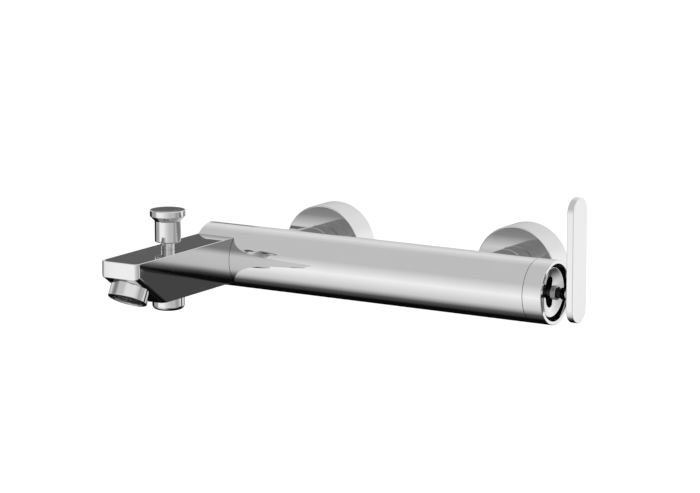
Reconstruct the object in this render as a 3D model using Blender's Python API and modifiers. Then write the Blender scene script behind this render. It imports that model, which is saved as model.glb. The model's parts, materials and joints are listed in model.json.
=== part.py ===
"""Wall mounted bath faucet: a round bar mixer with a box spout, a pull-up diverter and a side lever.

Frame: metres, +Z up. The origin lies on the wall plane, midway between the two inlets and level
with the bar's axis. +X runs along the bar towards the lever, +Y points into the wall and -Y towards
the bather.
"""
import math

import bmesh
import bpy
from mathutils import Matrix, Vector

MM = 0.001
GAP = 0.3 * MM                                  # clearance between pieces that touch

# Driving dimensions of the bar and its fixings
INLET_SPACING = 150.0 * MM                      # standard distance between hot and cold inlets
WALL_TO_AXIS = 72.5 * MM
BAR_RADIUS = 21.0 * MM
BAR_WALL = 2.5 * MM
BAR_LEFT = -132.7 * MM
BAR_RIGHT = 132.8 * MM
RING_LENGTH = 13.3 * MM
STUB_RADIUS = 16.0 * MM
ESCUTCHEON_RADIUS = 29.5 * MM
ESCUTCHEON_DEPTH = 21.1 * MM

# Driving dimensions of the spout
SPOUT_REACH = 200.0 * MM                        # wall to front face
SPOUT_WIDTH = 29.0 * MM
SPOUT_TOP = 15.1 * MM
SPOUT_BOTTOM = -15.5 * MM
SPOUT_CORNER = 3.2 * MM
FRONT_FACE_HEIGHT = 10.7 * MM
SLOPE_LENGTH_Y = 29.8 * MM
DIVERTER_REACH = 144.1 * MM                     # wall to the diverter's axis
AERATOR_RADIUS = 13.1 * MM
AERATOR_TILT = math.radians(28.0)

# Driving dimensions of the lever
LEVER_THICKNESS = 4.55 * MM
LEVER_WIDTH = 19.1 * MM
LEVER_BOTTOM = -18.0 * MM
LEVER_TOP = 62.9 * MM
LEVER_INNER_FACE = 145.0 * MM
PIVOT_X = 104.0 * MM                            # flow pivot, on the bar's axis
SPINDLE_ARM = 9.0 * MM                          # pivot to the spindle's inner end

# Places worked out from the driving dimensions
AXIS_Y = -WALL_TO_AXIS
BORE_RADIUS = BAR_RADIUS - BAR_WALL
CORE_RADIUS = BORE_RADIUS - GAP
SEAM_X = BAR_RIGHT - RING_LENGTH
SPOUT_X = BAR_LEFT + SPOUT_WIDTH / 2.0
DIVERTER_Y = -DIVERTER_REACH
PIVOT = (PIVOT_X, AXIS_Y, 0.0)
INLETS = {"left": -INLET_SPACING / 2.0, "right": INLET_SPACING / 2.0}
HOT_PIPE_Z = 8.5 * MM
MIX_PIPE_Z = -8.5 * MM
PIPE_RADIUS = 5.0 * MM

FINE = 36                                       # sides of the largest round pieces
ROUND = 24
SMALL = 16
TINY = 10
CUTTER_TWIST = math.radians(2.3)                # keeps a cutter's corners off its target's corners
SHARP_ANGLE = math.radians(35.0)                # edges sharper than this are shaded sharp
WELD = 0.001 * MM                               # merge distance of coincident points
LONG = 100.0 * MM                               # reach of a cutter that goes right through

AXES = {
    "+X": (0.0, math.pi / 2.0, 0.0),
    "-Y": (math.pi / 2.0, 0.0, 0.0),
    "+Y": (-math.pi / 2.0, 0.0, 0.0),
    "+Z": (0.0, 0.0, 0.0),
}
SIDE_VIEW = (math.pi / 2.0, 0.0, math.pi / 2.0)  # an outline drawn in (y, z), thick along x


# ---------------------------------------------------------------- scene and materials

def clear_scene():
    for obj in list(bpy.data.objects):
        bpy.data.objects.remove(obj, do_unlink=True)


def new_collection(name):
    collection = bpy.data.collections.new(name)
    bpy.context.scene.collection.children.link(collection)
    return collection


def material(name, colour, roughness, metallic):
    mat = bpy.data.materials.new(name)
    mat.use_nodes = True
    shader = mat.node_tree.nodes["Principled BSDF"]
    shader.inputs["Base Color"].default_value = (*colour, 1.0)
    shader.inputs["Roughness"].default_value = roughness
    shader.inputs["Metallic"].default_value = metallic
    mat.diffuse_color = (*colour, 1.0)
    return mat


clear_scene()
PARTS = new_collection("wall_mounted_bath_faucet")
CUTTERS = new_collection("cutters")
CHROME = material("chrome", (0.86, 0.87, 0.88), 0.05, 1.0)
BRASS = material("brass", (0.78, 0.60, 0.30), 0.30, 1.0)
STEEL = material("steel", (0.62, 0.62, 0.62), 0.25, 1.0)
DARK_STEEL = material("dark_steel", (0.10, 0.10, 0.11), 0.35, 1.0)
RUBBER = material("rubber", (0.03, 0.03, 0.03), 0.80, 0.0)
CERAMIC = material("ceramic", (0.90, 0.89, 0.86), 0.20, 0.0)
WHITE_PLASTIC = material("white_plastic", (0.82, 0.82, 0.80), 0.45, 0.0)
BLACK_PLASTIC = material("black_plastic", (0.05, 0.05, 0.05), 0.50, 0.0)
COPPER = material("copper", (0.80, 0.45, 0.30), 0.30, 1.0)


# ---------------------------------------------------------------- modelling helpers

def add_object(name, mesh, collection):
    obj = bpy.data.objects.new(name, mesh)
    collection.objects.link(obj)
    return obj


def applied_mesh(obj):
    """The object's mesh with its modifiers applied and its coincident points welded."""
    bpy.context.view_layer.update()
    depsgraph = bpy.context.evaluated_depsgraph_get()
    mesh = bpy.data.meshes.new_from_object(obj.evaluated_get(depsgraph))
    bm = bmesh.new()
    bm.from_mesh(mesh)
    bmesh.ops.remove_doubles(bm, verts=bm.verts, dist=WELD)
    bm.to_mesh(mesh)
    bm.free()
    return mesh


def finish(obj, mat):
    """Apply the modifiers, shade the round faces smooth and give the piece its material."""
    mesh = applied_mesh(obj)
    obj.modifiers.clear()
    obj.data = mesh
    mesh.materials.clear()
    mesh.materials.append(mat)
    mesh.shade_smooth()
    mesh.set_sharp_from_angle(angle=SHARP_ANGLE)
    mesh.name = obj.name
    return obj


def turned(name, outer, inner, direction, origin, sides, collection=PARTS):
    """Turn a profile about an axis through origin.

    outer and inner list (distance along the axis, radius) from the far end to the near end.
    A piece with no bore has inner None.
    """
    profile = list(outer)
    if inner is None:
        profile = [(outer[0][0], 0.0)] + profile + [(outer[-1][0], 0.0)]
    else:
        profile += reversed(inner)
    twist = CUTTER_TWIST if collection is CUTTERS else 0.0
    points = [(radius * math.cos(twist), radius * math.sin(twist), along) for along, radius in profile]
    edges = [(i, i + 1) for i in range(len(points) - 1)]
    if inner is not None:
        edges.append((len(points) - 1, 0))
    mesh = bpy.data.meshes.new(name)
    mesh.from_pydata(points, edges, [])
    obj = add_object(name, mesh, collection)
    obj.location = origin
    obj.rotation_euler = AXES[direction]
    screw = obj.modifiers.new("turn", "SCREW")
    screw.steps = sides
    screw.render_steps = sides
    screw.use_merge_vertices = True
    screw.merge_threshold = WELD
    return obj


def ring(name, start, end, radius, bore, direction, origin, sides, collection=PARTS):
    inner = None if bore is None else [(end, bore), (start, bore)]
    return turned(name, [(end, radius), (start, radius)], inner, direction, origin, sides, collection)


def hide_cutter(obj):
    obj.display_type = "WIRE"
    obj.hide_render = True
    return obj


def drill(name, start, end, radius, direction, origin, sides):
    """A closed cylinder along one axis, used to bore a hole."""
    return hide_cutter(ring(name, start, end, radius, None, direction, origin, sides, CUTTERS))


def block(name, low, high, collection=CUTTERS):
    """A box between two corners."""
    mesh = bpy.data.meshes.new(name)
    bm = bmesh.new()
    bmesh.ops.create_cube(bm, size=1.0)
    size = Vector(high) - Vector(low)
    bmesh.ops.scale(bm, vec=size, verts=bm.verts)
    bm.to_mesh(mesh)
    bm.free()
    obj = add_object(name, mesh, collection)
    obj.location = (Vector(low) + Vector(high)) / 2.0
    return hide_cutter(obj) if collection is CUTTERS else obj


def drill_group(name, low, high, radius, centres, sides):
    """Several closed cylinders along Z in one cutter, for holes that are bored together."""
    mesh = bpy.data.meshes.new(name)
    bm = bmesh.new()
    for x, y in centres:
        place = Matrix.Translation((x, y, (low + high) / 2.0))
        bmesh.ops.create_cone(bm, cap_ends=True, segments=sides, radius1=radius, radius2=radius,
                              depth=high - low, matrix=place)
    bm.to_mesh(mesh)
    bm.free()
    return hide_cutter(add_object(name, mesh, CUTTERS))


def prism(name, outline, thickness, rotation, location, collection=PARTS):
    """A flat outline, drawn in its own plane and made thick both ways along its normal."""
    curve = bpy.data.curves.new(name, "CURVE")
    curve.dimensions = "2D"
    curve.fill_mode = "BOTH"
    curve.extrude = thickness / 2.0
    spline = curve.splines.new("POLY")
    spline.points.add(len(outline) - 1)
    for point, (u, v) in zip(spline.points, outline):
        point.co = (u, v, 0.0, 1.0)
    spline.use_cyclic_u = True
    guide = add_object(name + "_outline", curve, collection)
    guide.location = location
    guide.rotation_euler = rotation
    mesh = applied_mesh(guide)
    obj = add_object(name, mesh, collection)
    obj.matrix_world = guide.matrix_world
    bpy.data.objects.remove(guide, do_unlink=True)
    return hide_cutter(obj) if collection is CUTTERS else obj


def arc(centre, radius, start, end, steps):
    """Points on an arc, with the angles in degrees."""
    points = []
    for i in range(steps + 1):
        angle = math.radians(start + (end - start) * i / steps)
        points.append((centre[0] + radius * math.cos(angle), centre[1] + radius * math.sin(angle)))
    return points


def stadium(half_width, low, high, steps):
    """An upright slot outline with round ends, in (across, up)."""
    top = arc((0.0, high - half_width), half_width, 0.0, 180.0, steps)
    bottom = arc((0.0, low + half_width), half_width, 180.0, 360.0, steps)
    return top + bottom


def combine(obj, operation, others):
    for other in others:
        boolean = obj.modifiers.new(operation.lower(), "BOOLEAN")
        boolean.operation = operation
        boolean.solver = "EXACT"
        boolean.object = hide_cutter(other)
    return obj


def helix(name, radius, wire, start, end, turns, origin, mat):
    """A compression spring standing on +Z."""
    points_per_turn = TINY
    curve = bpy.data.curves.new(name, "CURVE")
    curve.dimensions = "3D"
    curve.bevel_depth = wire / 2.0
    curve.bevel_resolution = 0
    curve.use_fill_caps = True
    spline = curve.splines.new("POLY")
    count = turns * points_per_turn
    spline.points.add(count)
    low = start + wire / 2.0
    high = end - wire / 2.0
    for i in range(count + 1):
        angle = 2.0 * math.pi * i / points_per_turn
        height = low + (high - low) * i / count
        spline.points[i].co = (radius * math.cos(angle), radius * math.sin(angle), height, 1.0)
    guide = add_object(name + "_path", curve, PARTS)
    guide.location = origin
    mesh = applied_mesh(guide)
    obj = add_object(name, mesh, PARTS)
    obj.matrix_world = guide.matrix_world
    bpy.data.objects.remove(guide, do_unlink=True)
    return finish(obj, mat)


def seal_ring(name, centre, section, along, direction, origin, sides, mat=RUBBER):
    """An O-ring of the given centre-line radius and section radius."""
    profile = arc((centre, along), section, 90.0, -90.0, 3)
    profile += arc((centre, along), section, -90.0, -270.0, 3)[1:-1]
    outer = [(height, radius) for radius, height in profile[:4]]
    inner = [(height, radius) for radius, height in reversed(profile[4:])]
    return finish(turned(name, outer, inner, direction, origin, sides), mat)


# ---------------------------------------------------------------- bar

BAR_ORIGIN = (0.0, AXIS_Y, 0.0)
SPIGOT_RADIUS = 9.0 * MM
NIPPLE_RADIUS = 12.0 * MM
PLUG_THICKNESS = 2.8 * MM


def body_tube():
    """The bar's outer tube, with an inlet hole at each end of the back and the spout's hole."""
    end = SEAM_X - GAP / 2.0
    tube = ring("body_tube", BAR_LEFT, end, BAR_RADIUS, BORE_RADIUS, "+X", BAR_ORIGIN, FINE)
    reach = 2.0 * BAR_RADIUS
    spout_origin = (SPOUT_X, AXIS_Y, 0.0)
    cutters = [drill("spigot_hole", 0.0, reach, SPIGOT_RADIUS + GAP, "-Y", spout_origin, SMALL)]
    for side, x in INLETS.items():
        origin = (x, AXIS_Y, 0.0)
        cutters.append(drill("inlet_hole_" + side, 0.0, reach, NIPPLE_RADIUS + GAP, "+Y", origin, SMALL))
    finish(combine(tube, "DIFFERENCE", cutters), CHROME)


def end_ring():
    """The chrome ring that covers the cartridge end of the bar."""
    chamfer = 0.4 * MM
    start = SEAM_X + GAP / 2.0
    outer = [(BAR_RIGHT, BAR_RADIUS - chamfer), (BAR_RIGHT - chamfer, BAR_RADIUS), (start, BAR_RADIUS)]
    inner = [(BAR_RIGHT, BORE_RADIUS), (start, BORE_RADIUS)]
    finish(turned("end_ring", outer, inner, "+X", BAR_ORIGIN, FINE), CHROME)


def end_plug():
    """The disc that closes the bar behind the spout."""
    end = BAR_LEFT + PLUG_THICKNESS
    finish(ring("end_plug", BAR_LEFT, end, CORE_RADIUS, None, "+X", BAR_ORIGIN, FINE), CHROME)


# ---------------------------------------------------------------- inlets, one set each side

BOSS_RADIUS = 15.5 * MM
BOSS_END = -49.3 * MM
NUT_START = BOSS_END + GAP
NUT_SHOULDER = -45.0 * MM
NIPPLE_COLLAR_RADIUS = 13.3 * MM
NIPPLE_END = -41.0 * MM
NIPPLE_START = AXIS_Y + BORE_RADIUS + 1.2 * MM
WATERWAY = 8.5 * MM
GASKET_THICKNESS = 1.8 * MM
UNION_START = NIPPLE_END + GASKET_THICKNESS + 2.0 * GAP
NUT_END = -33.7 * MM
UNION_THREAD_RADIUS = 13.2 * MM
UNION_SHOULDER = -12.0 * MM
UNION_OFFSET = 8.0 * MM                         # both unions are turned up, so the tails stay level
TAIL_RADIUS = 10.4 * MM
TAIL_BORE = 7.0 * MM
TAIL_END = 18.0 * MM
SLEEVE_BORE = 13.6 * MM
SLEEVE_END = -19.0 * MM
ESCUTCHEON_WALL = 1.6 * MM


def inlet_nipple(side, x):
    """The inlet boss, its saddle fitted to the bar, with the collar that holds the union nut."""
    origin = (x, 0.0, 0.0)
    nipple = ring("inlet_nipple_" + side, AXIS_Y, BOSS_END, BOSS_RADIUS, None, "+Y", origin, ROUND)
    saddle = drill("saddle_" + side, -LONG, LONG, BAR_RADIUS + GAP, "+X", (x, AXIS_Y, 0.0), FINE)
    stem = drill("nipple_stem_" + side, NIPPLE_START, NIPPLE_END, NIPPLE_RADIUS, "+Y", origin, SMALL)
    start = NUT_SHOULDER + GAP
    collar = drill("nipple_collar_" + side, start, NIPPLE_END, NIPPLE_COLLAR_RADIUS, "+Y", origin, SMALL)
    bore = drill("nipple_bore_" + side, AXIS_Y, 0.0, WATERWAY, "+Y", origin, SMALL)
    combine(nipple, "DIFFERENCE", [saddle])
    combine(nipple, "UNION", [stem, collar])
    finish(combine(nipple, "DIFFERENCE", [bore]), CHROME)


def union_nut(side, x):
    outer = [(NUT_END, STUB_RADIUS), (NUT_START, STUB_RADIUS)]
    inner = [(NUT_END, SLEEVE_BORE), (NUT_SHOULDER, SLEEVE_BORE), (NUT_SHOULDER, NIPPLE_RADIUS + GAP),
             (NUT_START, NIPPLE_RADIUS + GAP)]
    finish(turned("union_nut_" + side, outer, inner, "+Y", (x, 0.0, 0.0), ROUND), CHROME)


def union_gasket(side, x):
    start = NIPPLE_END + GAP
    end = start + GASKET_THICKNESS
    origin = (x, 0.0, 0.0)
    gasket = ring("union_gasket_" + side, start, end, UNION_THREAD_RADIUS, WATERWAY, "+Y", origin, SMALL)
    finish(gasket, RUBBER)


def eccentric_union(side, x):
    """The offset connector between the union nut and the pipe in the wall."""
    name = "eccentric_union_" + side
    origin = (x, 0.0, 0.0)
    tail_origin = (x, 0.0, UNION_OFFSET)
    tail_start = UNION_SHOULDER - 5.0 * MM
    bore_end = UNION_SHOULDER - 2.0 * MM
    bore_start = tail_start + 2.0 * MM
    body = ring(name, UNION_START, UNION_SHOULDER, UNION_THREAD_RADIUS, None, "+Y", origin, ROUND)
    tail = drill("tail_" + side, tail_start, TAIL_END, TAIL_RADIUS, "+Y", tail_origin, SMALL)
    front_bore = drill("union_bore_" + side, UNION_START - MM, bore_end, WATERWAY, "+Y", origin, SMALL)
    tail_bore = drill("tail_bore_" + side, bore_start, TAIL_END + MM, TAIL_BORE, "+Y", tail_origin, SMALL)
    combine(body, "UNION", [tail])
    finish(combine(body, "DIFFERENCE", [front_bore, tail_bore]), BRASS)


def cover_sleeve(side, x):
    start = NUT_END + GAP
    origin = (x, 0.0, 0.0)
    sleeve = ring("cover_sleeve_" + side, start, SLEEVE_END, STUB_RADIUS, SLEEVE_BORE, "+Y", origin, ROUND)
    finish(sleeve, CHROME)


def escutcheon(side, x):
    """The deep round cup that covers the pipe's hole in the wall."""
    face = -ESCUTCHEON_DEPTH
    face_back = face + ESCUTCHEON_WALL
    hole = STUB_RADIUS + GAP
    outer = [(0.0, ESCUTCHEON_RADIUS), (face, ESCUTCHEON_RADIUS)]
    inner = [(0.0, ESCUTCHEON_RADIUS - ESCUTCHEON_WALL), (face_back, ESCUTCHEON_RADIUS - ESCUTCHEON_WALL),
             (face_back, hole), (face, hole)]
    finish(turned("escutcheon_" + side, outer, inner, "+Y", (x, 0.0, 0.0), FINE), CHROME)


# ---------------------------------------------------------------- water ways inside the bar

HOUSING_START = 62.0 * MM
HOUSING_END = SEAM_X + 1.5 * MM
SEAT_X = 81.3 * MM                              # floor of the cartridge's bore
CARTRIDGE_BORE = 15.3 * MM
THREAD_BORE = 16.9 * MM
CASE_END = PIVOT_X + 1.5 * MM
PORT_RADIUS = 3.2 * MM
PORT_CIRCLE = 8.0 * MM
COLD_PORT_RADIUS = 4.5 * MM
SOCKET_DEPTH = 6.0 * MM                         # how far a water pipe reaches into a brass block


def pipe_socket(name, mouth, step, end, z):
    """A stepped cutter along the bar: the pipe's socket, then the port that it leads to."""
    outer = [(mouth, PIPE_RADIUS + GAP), (step, PIPE_RADIUS + GAP), (step, PORT_RADIUS), (end, PORT_RADIUS)]
    if end > mouth:
        outer.reverse()
    return hide_cutter(turned(name, outer, None, "+X", (0.0, AXIS_Y, z), SMALL, CUTTERS))


def cartridge_housing():
    """The brass cup that holds the cartridge and takes the cold, hot and mixed water ports."""
    outer = [(HOUSING_END, CORE_RADIUS), (HOUSING_START, CORE_RADIUS)]
    housing = turned("cartridge_housing", outer, None, "+X", BAR_ORIGIN, FINE)
    bore = drill("cartridge_bore", SEAT_X, HOUSING_END + MM, CARTRIDGE_BORE, "+X", BAR_ORIGIN, ROUND)
    thread = drill("nut_thread", CASE_END + GAP, HOUSING_END + MM, THREAD_BORE, "+X", BAR_ORIGIN, ROUND)
    cold = drill("cold_port", 0.0, BAR_RADIUS, COLD_PORT_RADIUS, "+Y", (INLETS["right"], AXIS_Y, 0.0), SMALL)
    cold_origin = (0.0, AXIS_Y + PORT_CIRCLE, 0.0)
    cold_rise = drill("cold_rise", INLETS["right"], SEAT_X + MM, PORT_RADIUS, "+X", cold_origin, TINY)
    cutters = [bore, thread, cold, cold_rise]
    step = HOUSING_START + SOCKET_DEPTH
    for name, z in (("hot_way", HOT_PIPE_Z), ("mixed_way", MIX_PIPE_Z)):
        cutters.append(pipe_socket(name, HOUSING_START - MM, step, SEAT_X + MM, z))
    finish(combine(housing, "DIFFERENCE", cutters), BRASS)


PIPE_WALL = 0.8 * MM
PIPE_END = HOUSING_START + SOCKET_DEPTH - 0.5 * MM
ELBOW_HALF = 8.0 * MM
ELBOW_FRONT = AXIS_Y - 6.0 * MM
ELBOW_BOTTOM = -2.5 * MM
ELBOW_TOP = 15.0 * MM
ELBOW_INLET_RADIUS = 5.0 * MM
ELBOW_INLET_Z = 6.5 * MM


def hot_elbow():
    """The block that turns the hot water from the left inlet into the hot pipe."""
    x = INLETS["left"]
    low = (x - ELBOW_HALF, ELBOW_FRONT, ELBOW_BOTTOM)
    high = (x + ELBOW_HALF, AXIS_Y + BAR_RADIUS, ELBOW_TOP)
    elbow = block("hot_elbow", low, high, PARTS)
    shell = drill("elbow_round", -LONG, LONG, CORE_RADIUS, "+X", BAR_ORIGIN, FINE)
    pipe_origin = (x, AXIS_Y, HOT_PIPE_Z)
    socket = drill("elbow_socket", MM, 2.0 * ELBOW_HALF, PIPE_RADIUS + GAP, "+X", pipe_origin, SMALL)
    inlet_origin = (x, AXIS_Y, ELBOW_INLET_Z)
    inlet = drill("elbow_inlet", 0.0, 2.0 * BAR_RADIUS, ELBOW_INLET_RADIUS, "+Y", inlet_origin, SMALL)
    combine(elbow, "INTERSECT", [shell])
    finish(combine(elbow, "DIFFERENCE", [socket, inlet]), BRASS)


def water_pipe(name, start, z):
    pipe = ring(name, start, PIPE_END, PIPE_RADIUS, PIPE_RADIUS - PIPE_WALL, "+X", (0.0, AXIS_Y, z), SMALL)
    finish(pipe, COPPER)


MANIFOLD_START = BAR_LEFT + 3.2 * MM
MANIFOLD_END = SPOUT_X + 11.7 * MM
SPIGOT_END = AXIS_Y - 8.2 * MM
SPIGOT_FLOOR = 6.0 * MM                         # bottom of the spigot's bore, from the bar's axis
SPOUT_PORT_Z = -5.0 * MM


def diverter_manifold():
    """The brass block at the left of the bar that carries mixed water into the spout."""
    start = MANIFOLD_START
    manifold = ring("diverter_manifold", start, MANIFOLD_END, CORE_RADIUS, None, "+X", BAR_ORIGIN, FINE)
    port = pipe_socket("mix_way", MANIFOLD_END + MM, MANIFOLD_END - SOCKET_DEPTH, SPOUT_X, MIX_PIPE_Z)
    bore_origin = (SPOUT_X, AXIS_Y, 0.0)
    bore = drill("spigot_bore", SPIGOT_FLOOR, 2.0 * BAR_RADIUS, SPIGOT_RADIUS + GAP, "-Y", bore_origin, SMALL)
    rise_origin = (SPOUT_X, AXIS_Y, SPOUT_PORT_Z)
    rise = drill("spout_port", 0.0, BAR_RADIUS, PORT_RADIUS, "-Y", rise_origin, TINY)
    finish(combine(manifold, "DIFFERENCE", [port, bore, rise]), BRASS)


# ---------------------------------------------------------------- spout

SPOUT_FRONT = -SPOUT_REACH
SPOUT_WALL = 2.3 * MM
SLOPE_START = (SPOUT_FRONT, SPOUT_TOP - FRONT_FACE_HEIGHT)
SLOPE_END = (SPOUT_FRONT + SLOPE_LENGTH_Y, SPOUT_BOTTOM)
SLOPE_ANGLE = math.atan2(SLOPE_START[1] - SLOPE_END[1], SLOPE_END[0] - SLOPE_START[0])
AERATOR_ALONG = 15.6 * MM                       # distance down the slope to the aerator's axis
AERATOR_DROP = 8.1 * MM                         # length of the aerator below the slope
AERATOR_SEAT = -2.0 * MM
AERATOR_THREAD_RADIUS = 12.0 * MM
AERATOR_THREAD_END = -7.0 * MM
AERATOR_FLOOR = -9.0 * MM                       # depth of the bore that the aerator screws into
AERATOR_REACH = 30.0 * MM
STEM_RADIUS = 4.4 * MM
SLEEVE_RADIUS = 11.4 * MM
SLEEVE_INNER = 9.6 * MM
DIVIDER_HALF = 5.0 * MM
SPIGOT_WALL = 2.0 * MM
REAR_WALL = 3.5 * MM                            # between the bar and the rear chamber
FRONT_CAVITY_WALL = 4.0 * MM
SLOPE_CAVITY_WALL = 5.0 * MM
CAVITY_TOP = SPOUT_TOP - SPOUT_WALL
CAVITY_BOTTOM = SPOUT_BOTTOM + SPOUT_WALL
AERATOR_CENTRE = (SPOUT_X, SLOPE_START[0] + AERATOR_ALONG * math.cos(SLOPE_ANGLE),
                  SLOPE_START[1] - AERATOR_ALONG * math.sin(SLOPE_ANGLE))


def tilt_to_aerator(obj):
    """Turn an object made on -Z, so that it points out of the slope along the aerator's axis."""
    obj.rotation_euler = (math.pi - AERATOR_TILT, 0.0, 0.0)
    obj.location = AERATOR_CENTRE
    return obj


def spout_outline(inset, slope_inset, back, front_wall):
    """The spout's side view in (y, z), moved inwards by a wall thickness."""
    front = SPOUT_FRONT + front_wall
    shift = slope_inset / math.sin(SLOPE_ANGLE)
    slope = math.tan(SLOPE_ANGLE)
    low = SPOUT_BOTTOM + inset
    front_low = SLOPE_START[1] - slope * (front - SLOPE_START[0] - shift)
    slope_low = SLOPE_START[0] + shift + (SLOPE_START[1] - low) / slope
    top = SPOUT_TOP - inset
    return [(back, top), (front, top), (front, front_low), (slope_low, low), (back, low)]


def spout_body():
    """The hollow box spout, its back saddled to the bar and its spigot reaching inside."""
    half = SPOUT_WIDTH / 2.0
    outline = spout_outline(0.0, 0.0, AXIS_Y, 0.0)
    spout = prism("spout_body", outline, SPOUT_WIDTH, SIDE_VIEW, (SPOUT_X, 0.0, 0.0))
    corner = half - SPOUT_CORNER
    corner_y = SPOUT_FRONT + SPOUT_CORNER
    plan = arc((-corner, corner_y), SPOUT_CORNER, 180.0, 270.0, 5)
    plan += arc((corner, corner_y), SPOUT_CORNER, 270.0, 360.0, 5)
    plan += [(half, AXIS_Y + MM), (-half, AXIS_Y + MM)]
    origin = (SPOUT_X, 0.0, 0.0)
    plan_view = prism("spout_plan", plan, LONG, AXES["+Z"], origin, CUTTERS)
    saddle = drill("spout_saddle", -LONG, LONG, BAR_RADIUS + GAP, "+X", (SPOUT_X, AXIS_Y, 0.0), FINE)
    root = WALL_TO_AXIS + BAR_RADIUS + 2.0 * MM
    way = SPIGOT_RADIUS - SPIGOT_WALL
    spigot = drill("spout_spigot", -SPIGOT_END, root, SPIGOT_RADIUS, "-Y", origin, SMALL)
    spigot_bore = drill("spigot_way", 0.0, root + 4.0 * MM, way, "-Y", origin, SMALL)
    combine(spout, "INTERSECT", [plan_view])
    combine(spout, "DIFFERENCE", [saddle])
    combine(spout, "UNION", [spigot])
    cavity_width = SPOUT_WIDTH - 2.0 * SPOUT_WALL
    low = (SPOUT_X - cavity_width / 2.0, DIVERTER_Y + DIVIDER_HALF, CAVITY_BOTTOM)
    high = (SPOUT_X + cavity_width / 2.0, AXIS_Y - BAR_RADIUS - REAR_WALL, CAVITY_TOP)
    rear = block("rear_chamber", low, high)
    front_back = DIVERTER_Y - DIVIDER_HALF
    front_outline = spout_outline(SPOUT_WALL, SLOPE_CAVITY_WALL, front_back, FRONT_CAVITY_WALL)
    front = prism("front_chamber", front_outline, cavity_width, SIDE_VIEW, origin, CUTTERS)
    diverter = (SPOUT_X, DIVERTER_Y, 0.0)
    well_top = CAVITY_TOP + 0.2 * MM
    well_radius = SLEEVE_RADIUS + GAP
    well = drill("diverter_well", SPOUT_BOTTOM - MM, well_top, well_radius, "+Z", diverter, ROUND)
    stem_hole = drill("stem_hole", 0.0, SPOUT_TOP + MM, STEM_RADIUS + GAP, "+Z", diverter, SMALL)
    seat = drill("aerator_seat", AERATOR_SEAT, AERATOR_REACH, AERATOR_RADIUS + GAP, "+Z", diverter, ROUND)
    thread_radius = AERATOR_THREAD_RADIUS + GAP
    thread = drill("aerator_thread", AERATOR_FLOOR, AERATOR_REACH, thread_radius, "+Z", diverter, ROUND)
    cutters = [spigot_bore, rear, front, tilt_to_aerator(seat), tilt_to_aerator(thread), well, stem_hole]
    finish(combine(spout, "DIFFERENCE", cutters), CHROME)


SPIGOT_SEAL_CENTRE = 7.6 * MM
SEAL_SECTION = 0.8 * MM                         # section radius of the two O-rings


def spigot_seal():
    along = -SPIGOT_END - SEAL_SECTION - GAP
    origin = (SPOUT_X, 0.0, 0.0)
    seal_ring("spigot_seal", SPIGOT_SEAL_CENTRE, SEAL_SECTION, along, "-Y", origin, SMALL)


# ---------------------------------------------------------------- aerator

INSERT_RADIUS = 10.6 * MM
MOUTH_RADIUS = 11.3 * MM
INSERT_FACE = AERATOR_DROP - 2.2 * MM
INSERT_BACK = -3.6 * MM
LIP_THICKNESS = 1.2 * MM                        # of the lip that holds the insert in the housing
LIP_WIDTH = 0.8 * MM
INSERT_CIRCLES = ((3.0 * MM, 4), (6.8 * MM, 8))  # radius of each circle of holes, and its holes
INSERT_HOLE_RADIUS = 0.9 * MM
INSERT_HOLE_SIDES = 6


def aerator_housing():
    """The chrome cup that screws into the slope and holds the flow straightener."""
    rim = 0.5 * MM
    shoulder = AERATOR_SEAT + GAP
    outer = [(AERATOR_DROP, AERATOR_RADIUS - rim), (AERATOR_DROP - rim, AERATOR_RADIUS),
             (shoulder, AERATOR_RADIUS), (shoulder, AERATOR_THREAD_RADIUS),
             (AERATOR_THREAD_END, AERATOR_THREAD_RADIUS)]
    lip = INSERT_FACE + GAP
    lip_front = lip + LIP_THICKNESS
    lip_radius = INSERT_RADIUS - LIP_WIDTH
    bore = INSERT_RADIUS + GAP
    inner = [(AERATOR_DROP, MOUTH_RADIUS), (lip_front, MOUTH_RADIUS), (lip_front, lip_radius),
             (lip, lip_radius), (lip, bore), (AERATOR_THREAD_END, bore)]
    housing = turned("aerator_housing", outer, inner, "+Z", (0.0, 0.0, 0.0), ROUND)
    finish(tilt_to_aerator(housing), CHROME)


def aerator_insert():
    """The plastic flow straightener, a disc with rings of holes."""
    origin = (0.0, 0.0, 0.0)
    insert = ring("aerator_insert", INSERT_BACK, INSERT_FACE, INSERT_RADIUS, None, "+Z", origin, ROUND)
    centres = []
    for circle, count in INSERT_CIRCLES:
        for i in range(count):
            angle = 2.0 * math.pi * (i + 0.25) / count
            centres.append((circle * math.cos(angle), circle * math.sin(angle)))
    low = INSERT_BACK - MM
    high = INSERT_FACE + MM
    holes = drill_group("insert_holes", low, high, INSERT_HOLE_RADIUS, centres, INSERT_HOLE_SIDES)
    finish(combine(insert, "DIFFERENCE", [holes]), BLACK_PLASTIC)
    tilt_to_aerator(insert)


def aerator_seal():
    start = AERATOR_THREAD_END
    end = INSERT_BACK - GAP
    bore = INSERT_RADIUS - 2.2 * MM
    seal = ring("aerator_seal", start, end, INSERT_RADIUS, bore, "+Z", (0.0, 0.0, 0.0), SMALL)
    finish(tilt_to_aerator(seal), RUBBER)


# ---------------------------------------------------------------- diverter

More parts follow.
